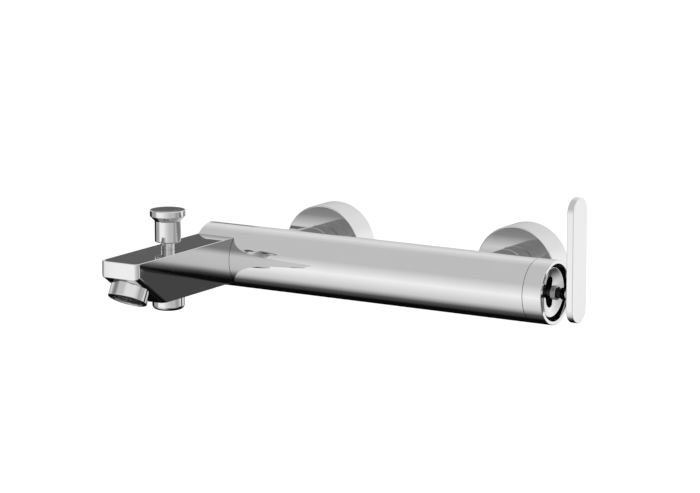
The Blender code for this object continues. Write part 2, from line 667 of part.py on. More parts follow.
DIVERTER = (SPOUT_X, DIVERTER_Y, 0.0)
CAP_RADIUS = 11.7 * MM
CAP_TOP = 41.5 * MM
CAP_EDGE = 37.5 * MM
GRIP_RADIUS = 8.6 * MM
GRIP_TOP = 34.2 * MM
GRIP_BOTTOM = 20.0 * MM
STEM_SHOULDER = -5.6 * MM
ROD_RADIUS = 2.5 * MM
ROD_END = -13.9 * MM
SLEEVE_TOP = CAVITY_TOP - GAP
SLEEVE_FOOT = -13.0 * MM
SEAT_BORE = 6.4 * MM
LOWER_SEAT = -11.2 * MM
UPPER_SEAT = 3.6 * MM
UPPER_SEAT_TOP = 5.0 * MM
GLAND_START = 10.1 * MM
RETAINER_START = 7.3 * MM
RETAINER_END = 7.8 * MM
PISTON_RADIUS = 8.8 * MM
WASHER_RADIUS = 8.2 * MM
WASHER_THICKNESS = 1.2 * MM
PISTON_THICKNESS = 2.0 * MM
PISTON_NUT_RADIUS = 4.2 * MM
KNOB_SOCKET_DEPTH = 7.0 * MM
WINDOW_HALF = 4.0 * MM                          # half-width of the windows in the valve cage
WINDOW_REACH = 20.0 * MM
STEM_SEAL_CENTRE = 5.6 * MM
STEM_SEAL_Z = 8.95 * MM
SPRING_RADIUS = 5.3 * MM
SPRING_WIRE = 0.8 * MM
SPRING_TURNS = 5


def diverter_knob():
    """The turned pull knob: a flat cap on a cone and a plain grip."""
    edge = 1.0 * MM
    socket_end = GRIP_BOTTOM + KNOB_SOCKET_DEPTH
    outer = [(CAP_TOP, CAP_RADIUS - 0.3 * MM), (CAP_TOP - 0.3 * MM, CAP_RADIUS), (CAP_EDGE, CAP_RADIUS),
             (GRIP_TOP, GRIP_RADIUS), (GRIP_BOTTOM + edge, GRIP_RADIUS), (GRIP_BOTTOM, GRIP_RADIUS - edge)]
    knob = turned("diverter_knob", outer, None, "+Z", DIVERTER, ROUND)
    socket = drill("knob_socket", GRIP_BOTTOM - MM, socket_end, STEM_RADIUS + GAP, "+Z", DIVERTER, SMALL)
    finish(combine(knob, "DIFFERENCE", [socket]), CHROME)


def diverter_stem():
    top = GRIP_BOTTOM + KNOB_SOCKET_DEPTH - 0.5 * MM
    outer = [(top, STEM_RADIUS), (STEM_SHOULDER, STEM_RADIUS), (STEM_SHOULDER, ROD_RADIUS),
             (ROD_END, ROD_RADIUS)]
    finish(turned("diverter_stem", outer, None, "+Z", DIVERTER, SMALL), CHROME)


def diverter_sleeve():
    """The valve cage with its two seats, and the windows to the two chambers."""
    outer = [(SLEEVE_TOP, SLEEVE_RADIUS), (SLEEVE_FOOT, SLEEVE_RADIUS)]
    inner = [(SLEEVE_TOP, SLEEVE_INNER), (UPPER_SEAT_TOP, SLEEVE_INNER), (UPPER_SEAT_TOP, SEAT_BORE),
             (UPPER_SEAT, SEAT_BORE), (UPPER_SEAT, SLEEVE_INNER), (LOWER_SEAT, SLEEVE_INNER),
             (LOWER_SEAT, SEAT_BORE), (SLEEVE_FOOT, SEAT_BORE)]
    sleeve = turned("diverter_sleeve", outer, inner, "+Z", DIVERTER, ROUND)
    left = SPOUT_X - WINDOW_HALF
    right = SPOUT_X + WINDOW_HALF
    rear_low = (left, DIVERTER_Y, LOWER_SEAT + 5.0 * MM)
    rear_high = (right, DIVERTER_Y + WINDOW_REACH, UPPER_SEAT - MM)
    front_low = (left, DIVERTER_Y - WINDOW_REACH, UPPER_SEAT_TOP + 0.5 * MM)
    front_high = (right, DIVERTER_Y, RETAINER_START - GAP)
    windows = [block("rear_window", rear_low, rear_high), block("front_window", front_low, front_high)]
    finish(combine(sleeve, "DIFFERENCE", windows), BRASS)


def diverter_rings():
    """The gland, seal and retainer round the stem, and the piston's plate, washers and nut."""
    bore = STEM_RADIUS + GAP
    rod_bore = ROD_RADIUS + GAP
    fit = SLEEVE_INNER - GAP
    gland = ring("diverter_gland", GLAND_START, SLEEVE_TOP, fit, bore, "+Z", DIVERTER, SMALL)
    finish(gland, BRASS)
    seal_ring("stem_seal", STEM_SEAL_CENTRE, SEAL_SECTION, STEM_SEAL_Z, "+Z", DIVERTER, SMALL)
    retainer = ring("seal_retainer", RETAINER_START, RETAINER_END, fit, bore, "+Z", DIVERTER, SMALL)
    finish(retainer, STEEL)
    start = LOWER_SEAT + GAP
    layers = (("piston_washer_lower", WASHER_THICKNESS, WASHER_RADIUS, RUBBER),
              ("diverter_piston", PISTON_THICKNESS, PISTON_RADIUS, BRASS),
              ("piston_washer_upper", WASHER_THICKNESS, WASHER_RADIUS, RUBBER))
    for name, thickness, radius, mat in layers:
        finish(ring(name, start, start + thickness, radius, rod_bore, "+Z", DIVERTER, SMALL), mat)
        start += thickness + GAP
    hexagon = 6
    nut = ring("piston_nut", ROD_END + GAP, LOWER_SEAT, PISTON_NUT_RADIUS, None, "+Z", DIVERTER, hexagon)
    nut_bore = drill("nut_bore", ROD_END - MM, LOWER_SEAT + MM, rod_bore, "+Z", DIVERTER, TINY)
    finish(combine(nut, "DIFFERENCE", [nut_bore]), STEEL)


def diverter_spring():
    start = STEM_SHOULDER + GAP
    end = RETAINER_START - GAP
    helix("diverter_spring", SPRING_RADIUS, SPRING_WIRE, start, end, SPRING_TURNS, DIVERTER, STEEL)


# ---------------------------------------------------------------- shower outlet and its check valve

OUTLET_RADIUS = 10.75 * MM
OUTLET_END = -25.0 * MM
OUTLET_TOP = SLEEVE_FOOT - GAP
OUTLET_ROUND = 3.0 * MM
OUTLET_LIP = -23.6 * MM
OUTLET_MOUTH = 6.3 * MM
OUTLET_BORE = 7.5 * MM
CHECK_RADIUS = 7.2 * MM
CHECK_TOP = -14.6 * MM
CHECK_SEAT = -16.1 * MM
CHECK_SEAT_BORE = 3.6 * MM
CHECK_BORE = 5.6 * MM
CHECK_FOOT = OUTLET_LIP + GAP
GUIDE_TOP = -22.2 * MM
POPPET_RADIUS = 4.8 * MM
POPPET_THICKNESS = 1.0 * MM
POPPET_STEM = 1.0 * MM
GUIDE_HOLES = 4
GUIDE_HOLE_CIRCLE = 3.3 * MM
GUIDE_HOLE_RADIUS = 1.2 * MM
CHECK_SPRING_RADIUS = 2.4 * MM
CHECK_SPRING_WIRE = 0.4 * MM
CHECK_SPRING_TURNS = 3


def shower_outlet():
    """The round outlet under the spout that takes the shower hose."""
    edge = arc((OUTLET_RADIUS - OUTLET_ROUND, OUTLET_END + OUTLET_ROUND), OUTLET_ROUND, 0.0, -90.0, 3)
    outer = [(OUTLET_TOP, SLEEVE_RADIUS), (SPOUT_BOTTOM, SLEEVE_RADIUS), (SPOUT_BOTTOM, OUTLET_RADIUS)]
    outer += [(height, radius) for radius, height in edge]
    inner = [(OUTLET_TOP, OUTLET_BORE), (OUTLET_LIP, OUTLET_BORE), (OUTLET_LIP, OUTLET_MOUTH),
             (OUTLET_END, OUTLET_MOUTH)]
    finish(turned("shower_outlet", outer, inner, "+Z", DIVERTER, ROUND), CHROME)


def check_valve():
    """The non-return valve pressed into the outlet: its body, guide, poppet and spring."""
    outer = [(CHECK_TOP, CHECK_RADIUS), (CHECK_FOOT, CHECK_RADIUS)]
    inner = [(CHECK_TOP, CHECK_SEAT_BORE), (CHECK_SEAT, CHECK_SEAT_BORE), (CHECK_SEAT, CHECK_BORE),
             (CHECK_FOOT, CHECK_BORE)]
    finish(turned("check_valve_body", outer, inner, "+Z", DIVERTER, SMALL), WHITE_PLASTIC)
    bore = POPPET_STEM + GAP
    guide = ring("check_valve_guide", CHECK_FOOT, GUIDE_TOP, CHECK_BORE - GAP, bore, "+Z", DIVERTER, SMALL)
    holes = []
    for i in range(GUIDE_HOLES):
        angle = 2.0 * math.pi * (i + 0.5) / GUIDE_HOLES
        across = GUIDE_HOLE_CIRCLE * math.cos(angle)
        forward = GUIDE_HOLE_CIRCLE * math.sin(angle)
        origin = (SPOUT_X + across, DIVERTER_Y + forward, 0.0)
        low = CHECK_FOOT - MM
        holes.append(drill("guide_hole", low, GUIDE_TOP + MM, GUIDE_HOLE_RADIUS, "+Z", origin, TINY))
    finish(combine(guide, "DIFFERENCE", holes), WHITE_PLASTIC)
    top = CHECK_SEAT - GAP
    foot = top - POPPET_THICKNESS
    stem_end = GUIDE_TOP - 0.8 * MM
    outer = [(top, POPPET_RADIUS), (foot, POPPET_RADIUS), (foot, POPPET_STEM), (stem_end, POPPET_STEM)]
    finish(turned("check_poppet", outer, None, "+Z", DIVERTER, SMALL), WHITE_PLASTIC)
    radius = CHECK_SPRING_RADIUS
    wire = CHECK_SPRING_WIRE
    helix("check_spring", radius, wire, GUIDE_TOP + GAP, foot - GAP, CHECK_SPRING_TURNS, DIVERTER, STEEL)


# ---------------------------------------------------------------- cartridge

BASE_SEAL_START = SEAT_X + GAP
BASE_START = BASE_SEAL_START + 0.8 * MM + GAP
BASE_END = BASE_START + 2.3 * MM
DISC_RADIUS = 12.0 * MM
MOVING_DISC_RADIUS = 10.0 * MM
DISC_THICKNESS = 2.7 * MM
FIXED_DISC_START = BASE_END + GAP
MOVING_DISC_START = FIXED_DISC_START + DISC_THICKNESS + GAP
CARRIER_START = MOVING_DISC_START + DISC_THICKNESS + GAP
CARRIER_END = PIVOT_X - 6.5 * MM
CARRIER_FLAT = 8.1 * MM
CASE_RADIUS = 15.0 * MM
CASE_INNER = 13.0 * MM
CASE_LIP = 11.0 * MM
CASE_LIP_START = PIVOT_X - 0.6 * MM
ROTOR_START = CARRIER_END + 0.5 * MM
ROTOR_RADIUS = 12.6 * MM
ROTOR_NECK = 10.6 * MM
ROTOR_END = PIVOT_X + 9.5 * MM
PIN_RADIUS = 1.5 * MM
SPINDLE_RADIUS = 3.8 * MM
DISC_PORT_RADIUS = 2.6 * MM
BASE_RADIUS = 14.8 * MM
BASE_SEAL_RADIUS = 14.6 * MM
CLAMP_BORE = 12.9 * MM                          # bore of the base seal and of the cartridge nut
NUT_RADIUS = 16.6 * MM
NUT_LENGTH = 5.5 * MM
POCKET_RADIUS = 6.5 * MM
POCKET_DEPTH = 1.4 * MM
CARRIER_SOCKET_RADIUS = 4.7 * MM
TAB_OUTER = 11.4 * MM
TAB_HALF = 4.0 * MM
ROTOR_SLOT_HALF = 7.4 * MM


def ported_disc(name, start, end, radius, mat):
    """A disc with the hot, cold and mixed ports through it."""
    disc = ring(name, start, end, radius, None, "+X", BAR_ORIGIN, ROUND)
    ports = []
    for port, y, z in (("hot", 0.0, PORT_CIRCLE), ("mixed", 0.0, -PORT_CIRCLE), ("cold", PORT_CIRCLE, 0.0)):
        origin = (0.0, AXIS_Y + y, z)
        ports.append(drill(name + "_" + port, start - MM, end + MM, DISC_PORT_RADIUS, "+X", origin, TINY))
    finish(combine(disc, "DIFFERENCE", ports), mat)


def fixed_cartridge():
    """The pieces of the cartridge that stay still in the housing."""
    start = BASE_SEAL_START
    end = BASE_START - GAP
    seal = ring("cartridge_base_seal", start, end, BASE_SEAL_RADIUS, CLAMP_BORE, "+X", BAR_ORIGIN, ROUND)
    finish(seal, RUBBER)
    ported_disc("cartridge_base", BASE_START, BASE_END, BASE_RADIUS, BLACK_PLASTIC)
    ported_disc("fixed_disc", FIXED_DISC_START, FIXED_DISC_START + DISC_THICKNESS, DISC_RADIUS, CERAMIC)
    outer = [(CASE_END, CASE_RADIUS), (FIXED_DISC_START, CASE_RADIUS)]
    inner = [(CASE_END, CASE_LIP), (CASE_LIP_START, CASE_LIP), (CASE_LIP_START, CASE_INNER),
             (FIXED_DISC_START, CASE_INNER)]
    finish(turned("cartridge_case", outer, inner, "+X", BAR_ORIGIN, ROUND), WHITE_PLASTIC)
    start = CASE_END + 2.0 * GAP
    end = start + NUT_LENGTH
    finish(ring("cartridge_nut", start, end, NUT_RADIUS, CLAMP_BORE, "+X", BAR_ORIGIN, ROUND), BRASS)


def moving_disc():
    """The ceramic disc that slides over the fixed one, with the pocket that joins the ports."""
    start = MOVING_DISC_START
    end = start + DISC_THICKNESS
    disc = ring("moving_disc", start, end, MOVING_DISC_RADIUS, None, "+X", BAR_ORIGIN, ROUND)
    pocket = drill("disc_pocket", start - MM, start + POCKET_DEPTH, POCKET_RADIUS, "+X", BAR_ORIGIN, SMALL)
    finish(combine(disc, "DIFFERENCE", [pocket]), CERAMIC)


def disc_carrier():
    """The plastic slider that the spindle's inner end pushes up and down."""
    start = CARRIER_START
    end = CARRIER_END
    carrier = ring("disc_carrier", start, end, MOVING_DISC_RADIUS, None, "+X", BAR_ORIGIN, ROUND)
    low = (start - MM, AXIS_Y - CARRIER_FLAT, -LONG)
    high = (end + MM, AXIS_Y + CARRIER_FLAT, LONG)
    flats = block("carrier_flats", low, high)
    socket_radius = CARRIER_SOCKET_RADIUS
    socket = drill("carrier_socket", start + MM, end + MM, socket_radius, "+X", BAR_ORIGIN, SMALL)
    combine(carrier, "INTERSECT", [flats])
    finish(combine(carrier, "DIFFERENCE", [socket]), BLACK_PLASTIC)


def cartridge_rotor():
    """The guide that turns with the lever and carries the pivot pin and the disc's slider."""
    shoulder = CASE_LIP_START - GAP
    outer = [(ROTOR_END, ROTOR_NECK), (shoulder, ROTOR_NECK), (shoulder, ROTOR_RADIUS),
             (ROTOR_START, ROTOR_RADIUS)]
    rotor = turned("cartridge_rotor", outer, None, "+X", BAR_ORIGIN, ROUND)
    tabs = []
    tab_start = CARRIER_START + MM
    for name, sign in (("near", -1.0), ("far", 1.0)):
        edges = sorted((sign * (CARRIER_FLAT + GAP), sign * TAB_OUTER))
        low = (tab_start, AXIS_Y + edges[0], -TAB_HALF)
        high = (ROTOR_START + MM, AXIS_Y + edges[1], TAB_HALF)
        tabs.append(block("rotor_tab_" + name, low, high))
    slot_half = SPINDLE_RADIUS + 0.4 * MM
    slot_low = (ROTOR_START - MM, AXIS_Y - slot_half, -ROTOR_SLOT_HALF)
    slot_high = (ROTOR_END + MM, AXIS_Y + slot_half, ROTOR_SLOT_HALF)
    slot = block("rotor_slot", slot_low, slot_high)
    pin_hole = drill("rotor_pin_hole", -LONG, LONG, PIN_RADIUS + GAP, "+Y", PIVOT, TINY)
    combine(rotor, "UNION", tabs)
    finish(combine(rotor, "DIFFERENCE", [slot, pin_hole]), BLACK_PLASTIC)


def pivot_pin():
    half = ROTOR_NECK - 0.6 * MM
    finish(ring("pivot_pin", -half, half, PIN_RADIUS, None, "+Y", PIVOT, TINY), STEEL)


DISH_MIDDLE = BAR_RIGHT - 5.5 * MM
DISH_RADIUS = 16.3 * MM
DISH_DEPTH = 3.1 * MM
DISH_SKIRT = 1.6 * MM
DISH_THICKNESS = 2.9 * MM
CAP_BACK = ROTOR_END - 1.5 * MM
SLOT_HALF_WIDTH = 4.3 * MM
SLOT_HALF_LENGTH = 10.2 * MM
SLOT_STEPS = 8                                  # straight steps in each round end of the slot
SLOT_CUT = 8.0 * MM


def slotted_cap():
    """The dished cap that turns with the rotor, with the slot that the spindle moves in."""
    rounding = 0.7 * MM
    steps = 3
    outer = []
    for i in range(1, steps + 1):
        radius = (DISH_RADIUS - rounding) * i / steps
        rise = DISH_DEPTH * (radius / DISH_RADIUS) ** 2
        outer.append((DISH_MIDDLE + rise, radius))
    edge = outer[-1][0]
    outer += [(edge - rounding, DISH_RADIUS), (CAP_BACK, DISH_RADIUS)]
    hub_bore = ROTOR_NECK + GAP
    hub = hub_bore + 1.3 * MM
    floor = DISH_MIDDLE - DISH_THICKNESS
    skirt = DISH_RADIUS - DISH_SKIRT
    outer += [(CAP_BACK, skirt), (floor, skirt), (floor, hub), (CAP_BACK, hub), (CAP_BACK, hub_bore),
              (floor, hub_bore)]
    cap = turned("slotted_cap", outer, None, "+X", BAR_ORIGIN, ROUND)
    outline = stadium(SLOT_HALF_WIDTH, -SLOT_HALF_LENGTH, SLOT_HALF_LENGTH, SLOT_STEPS)
    slot_centre = (DISH_MIDDLE, AXIS_Y, 0.0)
    slot = prism("cap_slot", outline, SLOT_CUT, SIDE_VIEW, slot_centre, CUTTERS)
    finish(combine(cap, "DIFFERENCE", [slot]), CHROME)


# ---------------------------------------------------------------- lever

COLLAR_RADIUS = 4.8 * MM
COLLAR_START = BAR_RIGHT - 2.0 * MM
COLLAR_END = BAR_RIGHT + 1.6 * MM
HUB_START = COLLAR_END + 3.2 * MM
HUB_END = LEVER_INNER_FACE - GAP
HUB_NECK = 3.9 * MM
HUB_FLARE = 1.6 * MM
TAIL_SPINDLE_RADIUS = 2.9 * MM
NECK_RADIUS = 3.3 * MM
BALL_RADIUS = 4.0 * MM                          # thickest part of the spindle's inner end
BALL_TIP_RADIUS = 2.4 * MM
LEVER_STEPS = 12                                # straight steps in each round end of the lever


def spindle():
    """The steel spindle: a rounded inner end, the eye for the pin and a stepped outer end."""
    ball = PIVOT_X - SPINDLE_ARM
    outer_shoulder = HUB_START - GAP
    inner_shoulder = COLLAR_END + GAP
    outer = [(HUB_END - 1.8 * MM, TAIL_SPINDLE_RADIUS), (outer_shoulder, TAIL_SPINDLE_RADIUS),
             (outer_shoulder, NECK_RADIUS), (inner_shoulder, NECK_RADIUS),
             (inner_shoulder, SPINDLE_RADIUS), (PIVOT_X - 4.0 * MM, SPINDLE_RADIUS),
             (PIVOT_X - 6.0 * MM, NECK_RADIUS), (ball + 1.4 * MM, BALL_RADIUS),
             (ball - 0.6 * MM, BALL_RADIUS), (ball - 2.1 * MM, BALL_TIP_RADIUS)]
    shaft = turned("spindle", outer, None, "+X", BAR_ORIGIN, SMALL)
    eye = drill("spindle_eye", -LONG, LONG, PIN_RADIUS + GAP, "+Y", PIVOT, TINY)
    finish(combine(shaft, "DIFFERENCE", [eye]), DARK_STEEL)


def spindle_collar():
    """The chrome collar on the spindle, just outside the slot."""
    bevel = 0.4 * MM
    bore = SPINDLE_RADIUS + GAP
    outer = [(COLLAR_END, COLLAR_RADIUS - bevel), (COLLAR_END - bevel, COLLAR_RADIUS),
             (COLLAR_START, COLLAR_RADIUS)]
    inner = [(COLLAR_END, bore), (COLLAR_START, bore)]
    finish(turned("spindle_collar", outer, inner, "+X", BAR_ORIGIN, SMALL), STEEL)


def lever_hub():
    """The trumpet-shaped socket that joins the lever to the spindle."""
    steps = 4
    outer = []
    for i in range(steps, -1, -1):
        share = i / steps
        along = HUB_START + (HUB_END - HUB_START) * share
        outer.append((along, HUB_NECK + HUB_FLARE * share ** 3))
    bore = TAIL_SPINDLE_RADIUS + GAP
    hub = turned("lever_hub", outer, None, "+X", BAR_ORIGIN, SMALL)
    socket = drill("hub_socket", HUB_START - MM, HUB_END - 1.4 * MM, bore, "+X", BAR_ORIGIN, SMALL)
    finish(combine(hub, "DIFFERENCE", [socket]), CHROME)


def lever_bar():
    """The flat upright lever with round ends."""
    outline = stadium(LEVER_WIDTH / 2.0, LEVER_BOTTOM, LEVER_TOP, LEVER_STEPS)
    centre = (LEVER_INNER_FACE + LEVER_THICKNESS / 2.0, AXIS_Y, 0.0)
    bar = prism("lever_bar", outline, LEVER_THICKNESS, SIDE_VIEW, centre)
    bevel = bar.modifiers.new("edge", "BEVEL")
    bevel.width = 0.35 * MM
    bevel.segments = 1
    bevel.limit_method = "ANGLE"
    bevel.angle_limit = math.radians(60.0)
    finish(bar, CHROME)


# ---------------------------------------------------------------- assembly

def main():
    body_tube()
    end_ring()
    end_plug()
    for side, x in INLETS.items():
        inlet_nipple(side, x)
        union_nut(side, x)
        union_gasket(side, x)
        eccentric_union(side, x)
        cover_sleeve(side, x)
        escutcheon(side, x)
    cartridge_housing()
    hot_elbow()
    water_pipe("hot_pipe", INLETS["left"] + 2.0 * MM, HOT_PIPE_Z)
    water_pipe("mix_pipe", MANIFOLD_END - SOCKET_DEPTH + 0.5 * MM, MIX_PIPE_Z)
    diverter_manifold()
    spout_body()
    spigot_seal()
    aerator_housing()
    aerator_insert()
    aerator_seal()
    diverter_knob()
    diverter_stem()
    diverter_sleeve()
    diverter_rings()
    diverter_spring()
    shower_outlet()
    check_valve()
    fixed_cartridge()
    moving_disc()
    disc_carrier()
    cartridge_rotor()
    pivot_pin()
    slotted_cap()
    spindle()
    spindle_collar()
    lever_hub()
    lever_bar()


main()
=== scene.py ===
"""Looks of the wall mounted bath faucet: fine chrome pieces, a studio and a camera.

Metres, in the row frame: +X along the bar towards the lever, +Y into the wall, +Z up.
"""
import json
import math

import bmesh
import bpy
from mathutils import Matrix, Vector
from mathutils.bvhtree import BVHTree
from mathutils.geometry import barycentric_transform


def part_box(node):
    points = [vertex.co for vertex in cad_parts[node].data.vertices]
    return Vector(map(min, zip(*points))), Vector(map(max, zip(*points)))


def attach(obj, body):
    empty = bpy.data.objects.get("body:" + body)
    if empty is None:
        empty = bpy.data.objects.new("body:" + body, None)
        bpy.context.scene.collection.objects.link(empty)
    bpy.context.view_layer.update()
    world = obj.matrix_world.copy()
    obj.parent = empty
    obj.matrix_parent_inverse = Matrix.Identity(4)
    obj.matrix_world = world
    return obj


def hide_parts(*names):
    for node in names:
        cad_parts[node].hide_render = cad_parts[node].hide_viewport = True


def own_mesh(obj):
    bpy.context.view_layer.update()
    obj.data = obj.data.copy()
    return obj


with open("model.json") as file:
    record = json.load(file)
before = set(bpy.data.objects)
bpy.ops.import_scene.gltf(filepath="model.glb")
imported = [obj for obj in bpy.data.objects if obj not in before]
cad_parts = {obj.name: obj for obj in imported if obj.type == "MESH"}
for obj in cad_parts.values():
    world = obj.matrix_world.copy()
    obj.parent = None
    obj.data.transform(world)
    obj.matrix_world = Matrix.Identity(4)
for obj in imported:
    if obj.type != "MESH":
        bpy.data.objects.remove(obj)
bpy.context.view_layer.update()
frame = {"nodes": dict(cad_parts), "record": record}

MM = 0.001
GAP = 0.3 * MM                                  # clearance between neighbouring pieces
FINE = 128                                      # sides of the large round pieces
ROUND = 96
SMALL = 64
SHARP_ANGLE = math.radians(32.0)                # a sharper edge than this is shaded as an edge
WELD = 0.001 * MM                               # points nearer than this are one point
LONG = 100.0 * MM                               # reach of a cutter that goes right through
AXES = {"+X": Vector((1, 0, 0)), "+Y": Vector((0, 1, 0)), "-Y": Vector((0, -1, 0)),
        "+Z": Vector((0, 0, 1))}


# ---------------------------------------------------------------- sizes, read from the frame

def extent(node):
    low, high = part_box(node)
    return Vector(low), Vector(high)


def middle(node):
    low, high = extent(node)
    return (low + high) / 2.0


BAR_LOW, BAR_HIGH = extent("body_tube")
BAR_RADIUS = (BAR_HIGH.z - BAR_LOW.z) / 2.0
AXIS_Y = (BAR_LOW.y + BAR_HIGH.y) / 2.0
BAR_WALL = 2.5 * MM
BORE_RADIUS = BAR_RADIUS - BAR_WALL
BAR_END = extent("end_ring")[1].x
BAR_ORIGIN = Vector((0.0, AXIS_Y, 0.0))
SPOUT_LOW, SPOUT_HIGH = extent("spout_body")
SPOUT_X = (SPOUT_LOW.x + SPOUT_HIGH.x) / 2.0
DIVERTER = middle("diverter_knob")
DIVERTER.z = 0.0


# ---------------------------------------------------------------- materials

PATTERN_LOW = 0.3                               # nearly all of a noise pattern lies between these
PATTERN_HIGH = 0.7


def new_material(name, colour, roughness, metallic):
    mat = bpy.data.materials.new(name)
    mat.use_nodes = True
    shader = mat.node_tree.nodes["Principled BSDF"]
    shader.inputs["Base Color"].default_value = (*colour, 1.0)
    shader.inputs["Roughness"].default_value = roughness
    shader.inputs["Metallic"].default_value = metallic
    return mat, mat.node_tree, shader


def noise(tree, scale, detail=4.0, stretch=(1.0, 1.0, 1.0)):
    """Noise in the row frame. scale is in features per metre."""
    place = tree.nodes.new("ShaderNodeTexCoord")
    mapping = tree.nodes.new("ShaderNodeMapping")
    mapping.inputs["Scale"].default_value = stretch
    texture = tree.nodes.new("ShaderNodeTexNoise")
    texture.inputs["Scale"].default_value = scale
    texture.inputs["Detail"].default_value = detail
    tree.links.new(place.outputs["Object"], mapping.inputs["Vector"])
    tree.links.new(mapping.outputs["Vector"], texture.inputs["Vector"])
    return texture.outputs["Fac"]


def vary(tree, source, low, high, target):
    """Map a 0 to 1 pattern onto a number socket."""
    spread = tree.nodes.new("ShaderNodeMapRange")
    spread.inputs["From Min"].default_value = PATTERN_LOW
    spread.inputs["From Max"].default_value = PATTERN_HIGH
    spread.inputs["To Min"].default_value = low
    spread.inputs["To Max"].default_value = high
    tree.links.new(source, spread.inputs["Value"])
    tree.links.new(spread.outputs["Result"], target)


def tint(tree, source, low, high, shader):
    """Map a 0 to 1 pattern onto the base colour."""
    ramp = tree.nodes.new("ShaderNodeValToRGB")
    ramp.color_ramp.elements[0].position = PATTERN_LOW
    ramp.color_ramp.elements[0].color = (*low, 1.0)
    ramp.color_ramp.elements[1].position = PATTERN_HIGH
    ramp.color_ramp.elements[1].color = (*high, 1.0)
    tree.links.new(source, ramp.inputs["Fac"])
    tree.links.new(ramp.outputs["Color"], shader.inputs["Base Color"])


def bump(tree, source, distance, strength, shader):
    node = tree.nodes.new("ShaderNodeBump")
    node.inputs["Distance"].default_value = distance
    node.inputs["Strength"].default_value = strength
    tree.links.new(source, node.inputs["Height"])
    tree.links.new(node.outputs["Normal"], shader.inputs["Normal"])


def shade_of(colour, share):
    return tuple(channel * share for channel in colour)


def plated(name, colour, roughness):
    """Polished plating: a near mirror with faint waviness and wiped, slightly duller patches."""
    mat, tree, shader = new_material(name, colour, roughness, 1.0)
    tint(tree, noise(tree, 45.0), shade_of(colour, 0.975), colour, shader)
    vary(tree, noise(tree, 160.0, 6.0), roughness, roughness * 1.9, shader.inputs["Roughness"])
    bump(tree, noise(tree, 70.0, 2.0), 0.02 * MM, 0.25, shader)
    return mat


def machined(name, colour, roughness, stretch):
    """Turned or drawn metal with fine tool lines across one direction."""
    mat, tree, shader = new_material(name, colour, roughness, 1.0)
    lines = noise(tree, 900.0, 5.0, stretch)
    tint(tree, noise(tree, 120.0), shade_of(colour, 0.82), colour, shader)
    vary(tree, lines, roughness * 0.75, roughness * 1.4, shader.inputs["Roughness"])
    bump(tree, lines, 0.05 * MM, 0.3, shader)
    return mat


def moulded(name, colour, roughness, grain):
    """Plastic, rubber or ceramic with a fine grain."""
    mat, tree, shader = new_material(name, colour, roughness, 0.0)
    tint(tree, noise(tree, 90.0), shade_of(colour, 0.85), colour, shader)
    vary(tree, noise(tree, 400.0), roughness * 0.85, min(1.0, roughness * 1.2),
         shader.inputs["Roughness"])
    bump(tree, noise(tree, grain, 5.0), 0.05 * MM, 0.35, shader)
    return mat


ALONG_BAR = (1.0, 0.03, 0.03)
MATERIALS = {
    "chrome": plated("chrome", (0.925, 0.925, 0.925), 0.028),
    "brass": machined("brass", (0.66, 0.51, 0.27), 0.30, ALONG_BAR),
    # Near-black brass: painted shade for the gap round the slotted cap, put on the cartridge nut and
    # housing
    "shade_painted_brass": machined("shade_painted_brass", (0.060, 0.050, 0.036), 0.42, ALONG_BAR),
    "steel": machined("steel", (0.62, 0.62, 0.62), 0.20, ALONG_BAR),
    "dark_steel": machined("dark_steel", (0.060, 0.060, 0.064), 0.28, ALONG_BAR),
    "rubber": moulded("rubber", (0.020, 0.020, 0.020), 0.75, 1500.0),
    "ceramic": moulded("ceramic", (0.88, 0.87, 0.84), 0.18, 600.0),
    "white_plastic": moulded("white_plastic", (0.78, 0.78, 0.76), 0.42, 1100.0),
    # Near-black plastic; on the aerator insert it is painted shade for the dark mouth
    "black_plastic": moulded("black_plastic", (0.018, 0.018, 0.019), 0.38, 1100.0),
    "copper": machined("copper", (0.80, 0.45, 0.30), 0.25, ALONG_BAR),
}


# ---------------------------------------------------------------- mesh helpers

def softened(points, closed):
    """Replace each corner of a profile that names a rounding by an arc.

    points are (along, radius) or (along, radius, rounding).
    """
    steps = 5
    result = []
    count = len(points)
    for i, point in enumerate(points):
        here = Vector(point[:2])
        rounding = point[2] if len(point) > 2 else 0.0
        if rounding == 0.0 or (not closed and i in (0, count - 1)):
            result.append(tuple(here))
            continue
        before = Vector(points[i - 1][:2]) - here
        after = Vector(points[(i + 1) % count][:2]) - here
        half = before.angle(after) / 2.0
        start = before.normalized() * (rounding / math.tan(half))
        end = after.normalized() * (rounding / math.tan(half))
        centre = (before.normalized() + after.normalized()).normalized() * (rounding / math.sin(half))
        for k in range(steps + 1):
            spoke = (start - centre).lerp(end - centre, k / steps).normalized() * rounding
            result.append(tuple(here + centre + spoke))
    return result


def new_piece(name, bm):
    bmesh.ops.recalc_face_normals(bm, faces=bm.faces)
    mesh = bpy.data.meshes.new(name)
    bm.to_mesh(mesh)
    bm.free()
    obj = bpy.data.objects.new(name, mesh)
    bpy.context.scene.collection.objects.link(obj)
    return smooth(obj)


def smooth(obj):
    """Smooth shading in which a large face stays true and a small rounding beside it bends."""
    obj.data.shade_smooth()
    obj.data.set_sharp_from_angle(angle=SHARP_ANGLE)
    weighted = obj.modifiers.new("weighted", "WEIGHTED_NORMAL")
    weighted.mode = "FACE_AREA"
    weighted.weight = 50
    weighted.keep_sharp = True
    return apply_modifiers(obj)


